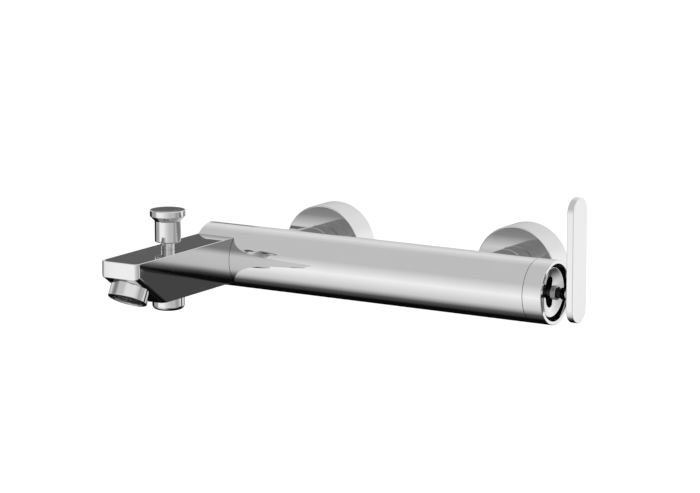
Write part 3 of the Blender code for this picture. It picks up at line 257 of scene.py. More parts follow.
def swept(name, column_at, direction, origin, steps, closed):
    """Turn a profile about an axis. column_at(angle) gives its (along, radius) points at each angle."""
    axis = direction if isinstance(direction, Vector) else AXES[direction]
    frame_of_axis = axis.to_track_quat("Z", "Y").to_matrix()
    bm = bmesh.new()
    columns = []
    poles = {}
    for k in range(steps):
        angle = 2.0 * math.pi * k / steps
        column = []
        for j, (along, radius) in enumerate(column_at(angle)):
            if radius < WELD and j in poles:
                column.append(poles[j])
                continue
            local = Vector((radius * math.cos(angle), radius * math.sin(angle), along))
            vertex = bm.verts.new(Vector(origin) + frame_of_axis @ local)
            if radius < WELD:
                poles[j] = vertex
            column.append(vertex)
        columns.append(column)
    rows = len(columns[0])
    for k in range(steps):
        this, following = columns[k], columns[(k + 1) % steps]
        for j in range(rows if closed else rows - 1):
            corners = [this[j], this[(j + 1) % rows], following[(j + 1) % rows], following[j]]
            unique = list(dict.fromkeys(corners))
            if len(unique) > 2:
                bm.faces.new(unique)
    return new_piece(name, bm)


def turned(name, profile, direction, origin, steps=ROUND, closed=True):
    """A turned piece. A closed profile is a ring, and an open one starts and ends on the axis."""
    points = softened(profile, closed)
    return swept(name, lambda angle: points, direction, origin, steps, closed)


def rod(name, start, end, radius, direction, origin, steps=ROUND):
    """A plain closed cylinder, for a cutter."""
    profile = [(start, 0.0), (start, radius), (end, radius), (end, 0.0)]
    return turned(name, profile, direction, origin, steps, closed=False)


def crate(name, low, high):
    bm = bmesh.new()
    size = Vector(high) - Vector(low)
    place = Matrix.Translation((Vector(low) + Vector(high)) / 2.0) @ Matrix.Diagonal((*size, 1.0))
    bmesh.ops.create_cube(bm, size=1.0, matrix=place)
    return new_piece(name, bm)


def extruded(name, outline, low, high):
    """A flat outline in (y, z), made thick from x = low to x = high."""
    bm = bmesh.new()
    near = [bm.verts.new((high, y, z)) for y, z in outline]
    far = [bm.verts.new((low, y, z)) for y, z in outline]
    bm.faces.new(near)
    bm.faces.new(list(reversed(far)))
    for i in range(len(outline)):
        j = (i + 1) % len(outline)
        bm.faces.new((near[i], near[j], far[j], far[i]))
    return new_piece(name, bm)


def arc(centre, radius, start, end, steps):
    """Points on an arc, with the angles in degrees."""
    points = []
    for i in range(steps + 1):
        angle = math.radians(start + (end - start) * i / steps)
        points.append((centre[0] + radius * math.cos(angle), centre[1] + radius * math.sin(angle)))
    return points


def apply_modifiers(obj):
    bpy.context.view_layer.update()
    depsgraph = bpy.context.evaluated_depsgraph_get()
    mesh = bpy.data.meshes.new_from_object(obj.evaluated_get(depsgraph))
    obj.modifiers.clear()
    obj.data = mesh
    return obj


def bevelled(obj, width, segments=4, limit=25.0):
    edge = obj.modifiers.new("edge", "BEVEL")
    edge.width = width
    edge.segments = segments
    edge.limit_method = "ANGLE"
    edge.angle_limit = math.radians(limit)
    edge.harden_normals = True
    return apply_modifiers(obj)


def clean_copy(mesh):
    """The triangles of a mesh with their corner normals, to look up the shading of a cut copy."""
    mesh.calc_loop_triangles()
    corners = [normal.vector.copy() for normal in mesh.corner_normals]
    points = [vertex.co.copy() for vertex in mesh.vertices]
    triangles = [tuple(t.vertices) for t in mesh.loop_triangles]
    normals = [tuple(corners[i] for i in t.loops) for t in mesh.loop_triangles]
    flats = [t.normal.copy() for t in mesh.loop_triangles]
    return BVHTree.FromPolygons(points, triangles), points, triangles, normals, flats


def carved(obj, cutters):
    """Cut a piece, and keep the shading of what is left of its own surface exactly as it was."""
    tree, points, triangles, normals, flats = clean_copy(obj.data)
    for cutter in cutters:
        boolean = obj.modifiers.new("cut", "BOOLEAN")
        boolean.operation = "DIFFERENCE"
        boolean.solver = "EXACT"
        boolean.object = cutter
    apply_modifiers(obj)
    for cutter in cutters:
        bpy.data.objects.remove(cutter, do_unlink=True)
    mesh = obj.data
    if "custom_normal" in mesh.attributes:
        mesh.attributes.remove(mesh.attributes["custom_normal"])
    smooth(obj)
    mesh = obj.data
    custom = [normal.vector.copy() for normal in mesh.corner_normals]
    same = 0.9
    reach = 5.0 * WELD
    for face in mesh.polygons:
        for corner in face.loop_indices:
            spot = mesh.vertices[mesh.loops[corner].vertex_index].co
            best = None
            for _, _, index, _ in tree.find_nearest_range(spot, reach):
                agreement = flats[index].dot(face.normal)
                if agreement > same and (best is None or agreement > best[0]):
                    best = (agreement, index)
            if best is not None:
                a, b, c = (points[i] for i in triangles[best[1]])
                custom[corner] = barycentric_transform(spot, a, b, c, *normals[best[1]]).normalized()
    mesh.normals_split_custom_set(custom)
    return obj


def give(obj, slot, body, *nodes):
    """Finish a piece: its material, the body it rides on and the CAD nodes it stands for."""
    obj.data.materials.clear()
    obj.data.materials.append(MATERIALS[slot])
    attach(obj, body)
    if nodes:
        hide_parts(*nodes)
    return obj


# ---------------------------------------------------------------- bar

EDGE = 0.25 * MM                                # usual broken edge of a turned piece
SEAM_EDGE = 0.12 * MM                           # the finer edge where tube and end ring meet
SPIGOT_HOLE = 9.3 * MM                          # radii of the holes in the tube
INLET_HOLE = 12.3 * MM


def bar():
    start = BAR_LOW.x
    end = BAR_HIGH.x
    profile = [(start, BAR_RADIUS, EDGE), (end, BAR_RADIUS, SEAM_EDGE), (end, BORE_RADIUS),
               (start, BORE_RADIUS)]
    tube = turned("tube_shell", profile, "+X", BAR_ORIGIN, FINE)
    through = 2.0 * BAR_RADIUS
    cutters = [rod("cut_spigot", 0.0, through, SPIGOT_HOLE, "-Y", (SPOUT_X, AXIS_Y, 0.0))]
    for side in ("left", "right"):
        origin = (middle("union_nut_" + side).x, AXIS_Y, 0.0)
        cutters.append(rod("cut_inlet", 0.0, through, INLET_HOLE, "+Y", origin))
    give(carved(tube, cutters), "chrome", "mixer_body", "body_tube")

    low, high = extent("end_ring")
    profile = [(low.x, BAR_RADIUS, SEAM_EDGE), (high.x, BAR_RADIUS, 0.45 * MM),
               (high.x, BORE_RADIUS, 0.3 * MM), (low.x, BORE_RADIUS)]
    ring = turned("ring_shell", profile, "+X", BAR_ORIGIN, FINE)
    give(ring, "chrome", "mixer_body", "end_ring")

    low, high = extent("end_plug")
    radius = (high.z - low.z) / 2.0
    profile = [(high.x, 0.0), (high.x, radius), (low.x, radius, 0.4 * MM), (low.x, 0.0)]
    plug = turned("plug_disc", profile, "+X", BAR_ORIGIN, FINE, closed=False)
    give(plug, "chrome", "mixer_body", "end_plug")


# ---------------------------------------------------------------- inlets

PITCH = 1.814 * MM                              # of a G1/2 thread
THREAD_DEPTH = 0.9 * MM
TAIL_RADIUS = 10.4 * MM
TAIL_BORE = 7.0 * MM
WATERWAY = 8.5 * MM
BOSS_RADIUS = 15.5 * MM
BOSS_PASSAGE = 12.0 * MM
COLLAR_RADIUS = 13.3 * MM                       # the nipple's collar, which the nut pulls on
COLLAR_FRONT = -44.7 * MM
COLLAR_BACK = -41.0 * MM
NUT_BORE = 13.6 * MM
NUT_NECK = 12.3 * MM
NUT_SEAT = -45.0 * MM
SHOULDER = -12.0 * MM                           # where the eccentric union's tail starts


def threaded_column(start, end, radius, bore):
    """The profile of a threaded tail at one angle: its thread runs out into chamfers at both ends."""
    per_turn = 6
    count = int((end - start) / PITCH * per_turn)
    runout = 1.2 * MM

    def column(angle):
        points = []
        for j in range(count + 1):
            along = start + (end - start) * j / count
            phase = (along / PITCH - angle / (2.0 * math.pi)) % 1.0
            height = 1.0 - abs(2.0 * phase - 1.0)
            ends = min(1.0, (along - start) / runout, (end - along) / runout)
            points.append((along, radius - THREAD_DEPTH * (1.0 - height * max(0.0, ends))))
        return points + [(end, bore), (start, bore)]
    return column


def inlet(side):
    nut_low, nut_high = extent("union_nut_" + side)
    x = (nut_low.x + nut_high.x) / 2.0
    origin = Vector((x, 0.0, 0.0))
    stub = (nut_high.x - nut_low.x) / 2.0
    boss_end = nut_low.y - GAP

    profile = [(AXIS_Y, WATERWAY), (AXIS_Y, BOSS_RADIUS), (boss_end, BOSS_RADIUS, EDGE),
               (boss_end, BOSS_PASSAGE), (COLLAR_FRONT, BOSS_PASSAGE), (COLLAR_FRONT, COLLAR_RADIUS),
               (COLLAR_BACK, COLLAR_RADIUS), (COLLAR_BACK, WATERWAY)]
    nipple = turned("nipple_boss_" + side, profile, "+Y", origin, ROUND)
    saddle = rod("cut_saddle", -LONG, LONG, BAR_RADIUS + 0.05 * MM, "+X", (x, AXIS_Y, 0.0), FINE)
    give(carved(nipple, [saddle]), "chrome", "mixer_body", "inlet_nipple_" + side)

    start, end = nut_low.y, nut_high.y
    profile = [(end, stub, EDGE), (end, NUT_BORE), (NUT_SEAT, NUT_BORE), (NUT_SEAT, NUT_NECK),
               (start, NUT_NECK), (start, stub, EDGE)]
    nut = turned("nut_shell_" + side, profile, "+Y", origin)
    give(nut, "chrome", "mixer_body", "union_nut_" + side)

    low, high = extent("cover_sleeve_" + side)
    profile = [(high.y, stub, EDGE), (high.y, NUT_BORE), (low.y, NUT_BORE), (low.y, stub, EDGE)]
    sleeve = turned("sleeve_shell_" + side, profile, "+Y", origin)
    give(sleeve, "chrome", "mixer_body", "cover_sleeve_" + side)

    low, high = extent("escutcheon_" + side)
    rim = (high.x - low.x) / 2.0
    wall = 1.6 * MM
    hole = stub + 0.12 * MM
    profile = [(high.y, rim, 0.3 * MM), (low.y, rim, 0.9 * MM), (low.y, hole, 0.15 * MM),
               (low.y + wall, hole), (low.y + wall, rim - wall, 0.6 * MM),
               (high.y, rim - wall, 0.3 * MM)]
    cup = turned("cup_" + side, profile, "+Y", origin, FINE)
    give(cup, "chrome", "mixer_body", "escutcheon_" + side)

    low, high = extent("eccentric_union_" + side)
    body_radius = -low.z
    tail_origin = Vector((x, 0.0, high.z - TAIL_RADIUS))
    profile = [(low.y, 0.0), (low.y, body_radius, EDGE), (SHOULDER, body_radius, 0.6 * MM),
               (SHOULDER, 0.0)]
    body = turned("union_body_" + side, profile, "+Y", origin, SMALL, closed=False)
    cutters = [rod("cut_front", low.y - MM, SHOULDER - 2.0 * MM, WATERWAY, "+Y", origin, SMALL),
               rod("cut_back", SHOULDER - 3.0 * MM, SHOULDER + MM, TAIL_BORE, "+Y", tail_origin, SMALL)]
    give(carved(body, cutters), "brass", "mixer_body", "eccentric_union_" + side)
    column = threaded_column(SHOULDER - MM, high.y, TAIL_RADIUS, TAIL_BORE)
    tail = swept("union_tail_" + side, column, "+Y", tail_origin, SMALL, closed=True)
    give(tail, "brass", "mixer_body")


# ---------------------------------------------------------------- spout

CORNER = 3.2 * MM                               # rounding of the spout's front corners
WALL = 2.3 * MM                                 # walls of the spout: sides, slope, front and back
SLOPE_WALL = 5.0 * MM
FRONT_WALL = 4.0 * MM
BACK_WALL = 3.5 * MM
DIVIDER = 5.0 * MM                              # half the block between the two chambers
WELL_RADIUS = 11.7 * MM                         # the diverter's well and the hole for its stem
STEM_HOLE = 4.7 * MM
SEAT_RADIUS = 13.4 * MM                         # the aerator's seat and thread
THREAD_RADIUS = 12.3 * MM
SLOPE_START = (SPOUT_LOW.y, SPOUT_HIGH.z - 10.7 * MM)
SLOPE_END = (SPOUT_LOW.y + 29.8 * MM, SPOUT_LOW.z)
SLOPE_ANGLE = math.atan2(SLOPE_START[1] - SLOPE_END[1], SLOPE_END[0] - SLOPE_START[0])
AERATOR_TILT = math.radians(28.0)
AERATOR_AXIS = Vector((0.0, -math.sin(AERATOR_TILT), -math.cos(AERATOR_TILT)))
AERATOR_ALONG = 15.6 * MM
AERATOR_CENTRE = Vector((SPOUT_X, SLOPE_START[0] + AERATOR_ALONG * math.cos(SLOPE_ANGLE),
                         SLOPE_START[1] - AERATOR_ALONG * math.sin(SLOPE_ANGLE)))


def spout_outline(inset, slope_inset, back, front_wall):
    """The spout's side view in (y, z), moved inwards by a wall thickness."""
    front = SPOUT_LOW.y + front_wall
    shift = slope_inset / math.sin(SLOPE_ANGLE)
    slope = math.tan(SLOPE_ANGLE)
    low = SPOUT_LOW.z + inset
    top = SPOUT_HIGH.z - inset
    front_low = SLOPE_START[1] - slope * (front - SLOPE_START[0] - shift)
    slope_low = SLOPE_START[0] + shift + (SLOPE_START[1] - low) / slope
    return [(back, top), (front, top), (front, front_low), (slope_low, low), (back, low)]


def spout():
    half = (SPOUT_HIGH.x - SPOUT_LOW.x) / 2.0
    body = extruded("spout_shell", spout_outline(0.0, 0.0, AXIS_Y, 0.0), SPOUT_LOW.x, SPOUT_HIGH.x)
    bevel = body.modifiers.new("corner", "BEVEL")
    bevel.width = CORNER
    bevel.segments = 10
    bevel.limit_method = "WEIGHT"
    weights = body.data.attributes.new("bevel_weight_edge", "FLOAT", "EDGE")
    for edge in body.data.edges:
        ends = [body.data.vertices[i].co for i in edge.vertices]
        upright = abs(ends[0].z - ends[1].z) > MM
        at_front = all(abs(point.y - SPOUT_LOW.y) < MM for point in ends)
        on_slope = upright and not at_front and abs(ends[0].y - ends[1].y) > MM
        weights.data[edge.index].value = 1.0 if (at_front and upright) or on_slope else 0.0
    smooth(apply_modifiers(body))
    bevelled(body, 0.35 * MM, 3, 30.0)
    inner = half - WALL
    rear = crate("cut_rear", (SPOUT_X - inner, DIVERTER.y + DIVIDER, SPOUT_LOW.z + WALL),
                 (SPOUT_X + inner, AXIS_Y - BAR_RADIUS - BACK_WALL, SPOUT_HIGH.z - WALL))
    outline = spout_outline(WALL, SLOPE_WALL, DIVERTER.y - DIVIDER, FRONT_WALL)
    front = extruded("cut_front", outline, SPOUT_X - inner, SPOUT_X + inner)
    saddle = rod("cut_saddle", -LONG, LONG, BAR_RADIUS + 0.25 * MM, "+X", (SPOUT_X, AXIS_Y, 0.0), FINE)
    well_top = SPOUT_HIGH.z - WALL + 0.2 * MM
    well = rod("cut_well", SPOUT_LOW.z - MM, well_top, WELL_RADIUS, "+Z", DIVERTER, SMALL)
    stem = rod("cut_stem", 0.0, SPOUT_HIGH.z + MM, STEM_HOLE, "+Z", DIVERTER, SMALL)
    outside = 30.0 * MM
    seat = rod("cut_seat", -2.0 * MM, outside, SEAT_RADIUS, AERATOR_AXIS, AERATOR_CENTRE, SMALL)
    thread = rod("cut_thread", -9.0 * MM, outside, THREAD_RADIUS, AERATOR_AXIS, AERATOR_CENTRE, SMALL)
    shell = carved(body, [saddle, rear, front, seat, thread, well, stem])
    give(shell, "chrome", "mixer_body", "spout_body")

    root = -(AXIS_Y - BAR_RADIUS) + BAR_WALL
    tip = -SPOUT_HIGH.y
    radius = 9.0 * MM
    bore = 7.0 * MM
    profile = [(tip, bore), (tip, radius, EDGE), (root, radius), (root, bore)]
    spigot = turned("spout_spigot", profile, "-Y", (SPOUT_X, 0.0, 0.0), SMALL)
    give(spigot, "chrome", "mixer_body")


# ---------------------------------------------------------------- aerator

def aerator():
    drop = 8.1 * MM
    outer = 13.04 * MM
    mouth = 11.3 * MM
    face = drop - 2.2 * MM
    lip = face + GAP
    lip_front = lip + 1.2 * MM
    lip_bore = 9.8 * MM
    chamber = 10.9 * MM
    thread = 12.0 * MM
    thread_end = -7.0 * MM
    shoulder = -1.7 * MM
    profile = [(drop, mouth, 0.35 * MM), (lip_front, mouth, 0.2 * MM), (lip_front, lip_bore),
               (lip, lip_bore), (lip, chamber), (thread_end, chamber), (thread_end, thread),
               (shoulder, thread), (shoulder, outer), (drop, outer, 0.55 * MM)]
    housing = turned("aerator_shell", profile, AERATOR_AXIS, AERATOR_CENTRE)
    give(housing, "chrome", "mixer_body", "aerator_housing")

    radius = 10.6 * MM
    back = -3.6 * MM
    profile = [(face, 0.0), (face, radius, EDGE), (back, radius), (back, 0.0)]
    insert = turned("straightener", profile, AERATOR_AXIS, AERATOR_CENTRE, SMALL, closed=False)
    turn = AERATOR_AXIS.to_track_quat("Z", "Y").to_matrix()
    holes = bmesh.new()
    hole = 0.8 * MM
    for circle in range(4):
        count = max(1, 6 * circle)
        for i in range(count):
            angle = 2.0 * math.pi * i / count
            reach = circle * 2.6 * MM
            centre = Vector((reach * math.cos(angle), reach * math.sin(angle), (face + back) / 2.0))
            place = Matrix.Translation(AERATOR_CENTRE + turn @ centre) @ turn.to_4x4()
            bmesh.ops.create_cone(holes, cap_ends=True, segments=16, radius1=hole, radius2=hole,
                                  depth=face - back + 2.0 * MM, matrix=place)
    drilled = carved(insert, [new_piece("cut_holes", holes)])
    # The insert is near-black: painted shade for the aerator's dark mouth
    give(drilled, "black_plastic", "mixer_body", "aerator_insert")


# ---------------------------------------------------------------- diverter and shower outlet

def diverter():
    low, high = extent("diverter_knob")
    cap = (high.x - low.x) / 2.0
    cap_edge = high.z - 4.0 * MM
    grip = 8.6 * MM
    grip_top = high.z - 7.3 * MM
    socket = 4.7 * MM
    depth = low.z + 7.0 * MM
    profile = [(high.z, 0.0), (high.z, cap, 0.45 * MM), (cap_edge, cap, 0.3 * MM),
               (grip_top, grip, 0.5 * MM), (low.z, grip, 0.9 * MM), (low.z, socket, 0.2 * MM),
               (depth, socket), (depth, 0.0)]
    knob = turned("knob_turned", profile, "+Z", DIVERTER, FINE, closed=False)
    give(knob, "chrome", "diverter", "diverter_knob")

    low, high = extent("diverter_stem")
    stem = 4.4 * MM
    tail = 2.5 * MM
    shoulder = -5.6 * MM
    profile = [(high.z, 0.0), (high.z, stem, 0.3 * MM), (shoulder, stem), (shoulder, tail),
               (low.z, tail, 0.3 * MM), (low.z, 0.0)]
    rod_piece = turned("stem_turned", profile, "+Z", DIVERTER, SMALL, closed=False)
    give(rod_piece, "chrome", "diverter", "diverter_stem")

    low, high = extent("shower_outlet")
    outer = 10.75 * MM
    housed = 11.4 * MM
    mouth = 6.3 * MM
    bore = 7.5 * MM
    ledge = low.z + 1.4 * MM
    profile = [(high.z, housed), (SPOUT_LOW.z, housed), (SPOUT_LOW.z, outer), (low.z, outer, 3.0 * MM),
               (low.z, mouth, 0.25 * MM), (ledge, mouth), (ledge, bore), (high.z, bore)]
    outlet = turned("outlet_turned", profile, "+Z", DIVERTER, FINE)
    give(outlet, "chrome", "mixer_body", "shower_outlet")


# ---------------------------------------------------------------- springs

DIVERTER_WIRE = 0.4 * MM                        # radii of the spring wires
DIVERTER_TURNS = 5
CHECK_WIRE = 0.2 * MM
CHECK_TURNS = 3


def spring(node, name, wire, turns, fixed_end):
    """A coil spring with flat end turns. The fixed_end argument is not used."""
    low, high = extent(node)
    radius = (high.x - low.x) / 2.0 - wire
    centre = middle(node)
    start = low.z + wire
    length = high.z - low.z - 2.0 * wire
    per_turn = 28
    around = 10
    resting = 0.75                              # share of a turn that lies flat at each end
    count = int(turns * per_turn)
    bm = bmesh.new()
    rings = []
    for i in range(count + 1):
        turn = turns * i / count
        angle = 2.0 * math.pi * turn
        climb = min(1.0, max(0.0, (turn - resting) / (turns - 2.0 * resting)))
        outward = Vector((math.cos(angle), math.sin(angle), 0.0))
        point = Vector((centre.x, centre.y, start + length * climb)) + outward * radius
        rings.append([])
        for k in range(around):
            side = 2.0 * math.pi * k / around
            offset = outward * (wire * math.cos(side)) + Vector((0.0, 0.0, wire * math.sin(side)))
            rings[-1].append(bm.verts.new(point + offset))
    for this, following in zip(rings, rings[1:]):
        for k in range(around):
            j = (k + 1) % around
            bm.faces.new((this[k], this[j], following[j], following[k]))
    bm.faces.new(rings[0])
    bm.faces.new(list(reversed(rings[-1])))
    piece = give(new_piece(name, bm), "steel", "mixer_body", node)
    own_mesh(piece)


def springs():
    """The diverter's spring is held at its top, and the non-return valve's at its bottom."""
    spring("diverter_spring", "diverter_coil", DIVERTER_WIRE, DIVERTER_TURNS,
           extent("diverter_spring")[1].z)
    spring("check_spring", "check_coil", CHECK_WIRE, CHECK_TURNS,
           extent("check_spring")[0].z)


# ---------------------------------------------------------------- cartridge end and lever

def stadium(half_width, low, high, steps):
    """An upright slot outline with round ends, in (y, z) about the bar's axis."""
    top = arc((AXIS_Y, high - half_width), half_width, 0.0, 180.0, steps)
    return top + arc((AXIS_Y, low + half_width), half_width, 180.0, 360.0, steps)


def slotted_cap():
    """The cap is a shallow dish: its rim stands nearer to the bar's end than its middle."""
    low, high = extent("slotted_cap")
    radius = (high.z - low.z) / 2.0
    sunk = BAR_END - 5.5 * MM
    depth = 3.1 * MM
    inside = sunk - 2.9 * MM
    hub_bore = 10.9 * MM
    hub = hub_bore + 1.3 * MM
    rounding = 0.6 * MM
    steps = 14
    profile = []
    for i in range(steps + 1):
        reach = (radius - rounding) * i / steps
        profile.append((sunk + depth * (reach / radius) ** 2, reach))
    edge = profile[-1][0]
    quarter = 6
    for i in range(1, quarter + 1):
        angle = math.pi / 2.0 * i / quarter
        profile.append((edge - rounding * (1.0 - math.cos(angle)),
                        radius - rounding * (1.0 - math.sin(angle))))
    skirt = radius - 1.6 * MM
    profile += [(low.x, radius), (low.x, skirt), (inside, skirt), (inside, hub), (low.x, hub),
                (low.x, hub_bore), (inside, hub_bore), (inside, 0.0)]
    cap = turned("dish_cap", profile, "+X", BAR_ORIGIN, FINE, closed=False)
    slot_end = 10.2 * MM
    outline = stadium(4.3 * MM, -slot_end, slot_end, 24)
    slot = extruded("cut_slot", outline, inside - 2.0 * MM, sunk + 4.0 * MM)
    give(carved(cap, [slot]), "chrome", "temperature_cartridge", "slotted_cap")


def lever():
    bar_low, bar_high = extent("lever_bar")
    hub_low, hub_high = extent("lever_hub")
    collar_low, collar_high = extent("spindle_collar")
    shaft_low, shaft_high = extent("spindle")
    pin = middle("pivot_pin")
    tenon = 2.9 * MM                            # radii along the shaft, from the lever inwards
    neck = 3.3 * MM
    shank = 3.8 * MM
    ball = 4.0 * MM
    tip = 2.4 * MM
    neck_end = hub_low.x - GAP
    shank_end = collar_high.x + GAP
    start = shaft_low.x

    profile = [(shaft_high.x, 0.0), (shaft_high.x, tenon, EDGE), (neck_end, tenon), (neck_end, neck),
               (shank_end, neck), (shank_end, shank, 0.2 * MM), (0.1 * MM + pin.x, shank),
               (start + 9.0 * MM - 3.9 * MM, neck), (start + 3.5 * MM, ball, 0.8 * MM),
               (start + 1.5 * MM, ball, 0.8 * MM), (start, tip, 0.5 * MM), (start, 0.0)]
    shaft = turned("shaft_turned", profile, "+X", BAR_ORIGIN, SMALL, closed=False)
    eye = rod("cut_eye", -LONG, LONG, 1.8 * MM, "+Y", pin, SMALL)
    give(carved(shaft, [eye]), "dark_steel", "lever", "spindle")

    radius = (collar_high.z - collar_low.z) / 2.0
    bore = shank + GAP
    profile = [(collar_high.x, bore), (collar_high.x, radius, 0.5 * MM), (collar_low.x, radius, EDGE),
               (collar_low.x, bore)]
    collar = turned("collar_turned", profile, "+X", BAR_ORIGIN, SMALL)
    give(collar, "steel", "lever", "spindle_collar")

    steps = 16
    flare = []
    for i in range(steps + 1):
        share = i / steps
        along = hub_low.x + (hub_high.x + GAP - hub_low.x) * share
        flare.append((along, 3.9 * MM + 1.6 * MM * share ** 3))
    bore = 3.2 * MM
    bottom = hub_high.x - 1.4 * MM
    profile = [(flare[-1][0], 0.0)] + list(reversed(flare))
    profile += [(hub_low.x, bore), (bottom, bore), (bottom, 0.0)]
    trumpet = turned("trumpet", profile, "+X", BAR_ORIGIN, SMALL, closed=False)
    give(trumpet, "chrome", "lever", "lever_hub")

    half = (bar_high.y - bar_low.y) / 2.0
    outline = stadium(half, bar_low.z, bar_high.z, 40)
    paddle = extruded("lever_paddle", outline, bar_low.x, bar_high.x)
    bevelled(paddle, 0.45 * MM, 4, 60.0)
    give(paddle, "chrome", "lever", "lever_bar")


def carried_over():
    """The CAD nodes, each with its slot's material. The two seen round the cap get a near-black brass
    instead, as painted shade for the dark gap round the cap.
    """
    slots = {part["node"]: part["material_slot"] for part in frame["record"]["subparts"]}
    for name, obj in frame["nodes"].items():
        # The cartridge nut and housing are coloured near-black as painted shade in the gap round the
        # cap
        gap_shade = name in ("cartridge_nut", "cartridge_housing")
        obj.data.materials.clear()
        obj.data.materials.append(MATERIALS["shade_painted_brass" if gap_shade else slots[name]])


# ---------------------------------------------------------------- studio

MIRROR = 0.93                                   # share of the light that the chrome returns


def grey(tone):
    """The light, as a colour, that the chrome shows as a display tone from 0 to 255."""
    value = tone / 255.0
    linear = value / 12.92 if value <= 0.04045 else ((value + 0.055) / 1.055) ** 2.4
    return (linear / MIRROR, linear / MIRROR, linear / MIRROR, 1.0)


def tone_ramp(tree, source, stops, low, high):
    """A smooth run of tones over an angle, from low to high degrees."""
    spread = tree.nodes.new("ShaderNodeMapRange")
    spread.inputs["From Min"].default_value = math.radians(low)
    spread.inputs["From Max"].default_value = math.radians(high)
    tree.links.new(source, spread.inputs["Value"])
    ramp = tree.nodes.new("ShaderNodeValToRGB")
    elements = ramp.color_ramp.elements
    for i, (angle, tone) in enumerate(stops):
        position = (angle - low) / (high - low)
        element = elements[i] if i < 2 else elements.new(position)
        element.position = position
        element.color = grey(tone)
    tree.links.new(spread.outputs["Result"], ramp.inputs["Fac"])
    return ramp.outputs["Color"]


def math_node(tree, operation, first, second=0.0):
    node = tree.nodes.new("ShaderNodeMath")
    node.operation = operation
    for socket, value in zip(node.inputs, (first, second)):
        if isinstance(value, float):
            socket.default_value = value
        else:
            tree.links.new(value, socket)
    return node.outputs[0]


def blend_between(tree, source, low, high):
    node = tree.nodes.new("ShaderNodeMapRange")
    node.interpolation_type = "SMOOTHSTEP"
    node.inputs["From Min"].default_value = low
    node.inputs["From Max"].default_value = high
    tree.links.new(source, node.inputs["Value"])
    return node.outputs["Result"]


def mixed(tree, factor, first, second, blend="MIX"):
    node = tree.nodes.new("ShaderNodeMix")
    node.data_type = "RGBA"
    node.blend_type = blend
    tree.links.new(factor, node.inputs["Factor"])
    for name, value in (("A", first), ("B", second)):
        socket = [s for s in node.inputs if s.name == name and s.type == "RGBA"][0]
        if isinstance(value, tuple):
            socket.default_value = value
        else:
            tree.links.new(value, socket)
    return [s for s in node.outputs if s.type == "RGBA"][0]


# Light levels of the studio, as tones from 0 (black) to 255 (white)
BELOW_TONE = 10
DUSK_TONE = 80
LOWER_TONE = 200
FRONT_TONE = 240
CEILING_TONE = 190
BACK_TONE = 220
WALL_TONE = 190
RIGHT_TONE = 185
GAP_TONE = 145
# The same places for light that the faucet has already reflected once and that comes back dimmer
FRONT_AGAIN_TONE = 120
CEILING_AGAIN_TONE = 140
BACK_AGAIN_TONE = 210
# The right half of the studio, below and above the ring of panels that RIGHT_SIDE describes
RIGHT_BELOW_TONE = 12
RIGHT_ABOVE_TONE = 222
RIGHT_ABOVE_AGAIN_TONE = 128
SIDE_SHADE = 0.42                               # what the shade at the far left lets through
SOFT_STRENGTH = 1.18
WHITE = (1.0, 1.0, 1.0, 1.0)

# Degrees round the bar's axis: 0 is the front, 90 overhead, -90 below, 180 the wall side
ROUND_BAR = ((-180, WALL_TONE), (-165, DUSK_TONE), (-155, BELOW_TONE), (-110, BELOW_TONE),
             (-85, DUSK_TONE), (-60, LOWER_TONE), (-15, FRONT_TONE), (30, CEILING_TONE),
             (105, CEILING_TONE), (140, BACK_TONE), (180, WALL_TONE))
ROUND_BAR_TWICE = ((-180, WALL_TONE), (-165, DUSK_TONE), (-155, BELOW_TONE), (-100, BELOW_TONE),
                   (-50, FRONT_AGAIN_TONE), (30, FRONT_AGAIN_TONE), (100, CEILING_AGAIN_TONE),
                   (150, BACK_AGAIN_TONE), (180, WALL_TONE))
# Degrees of the compass in the studio's right half: 0 is the front and 180 the wall side
RIGHT_SIDE = ((-20, FRONT_TONE), (50, RIGHT_TONE), (75, RIGHT_TONE), (100, GAP_TONE),
              (150, FRONT_TONE), (200, LOWER_TONE))


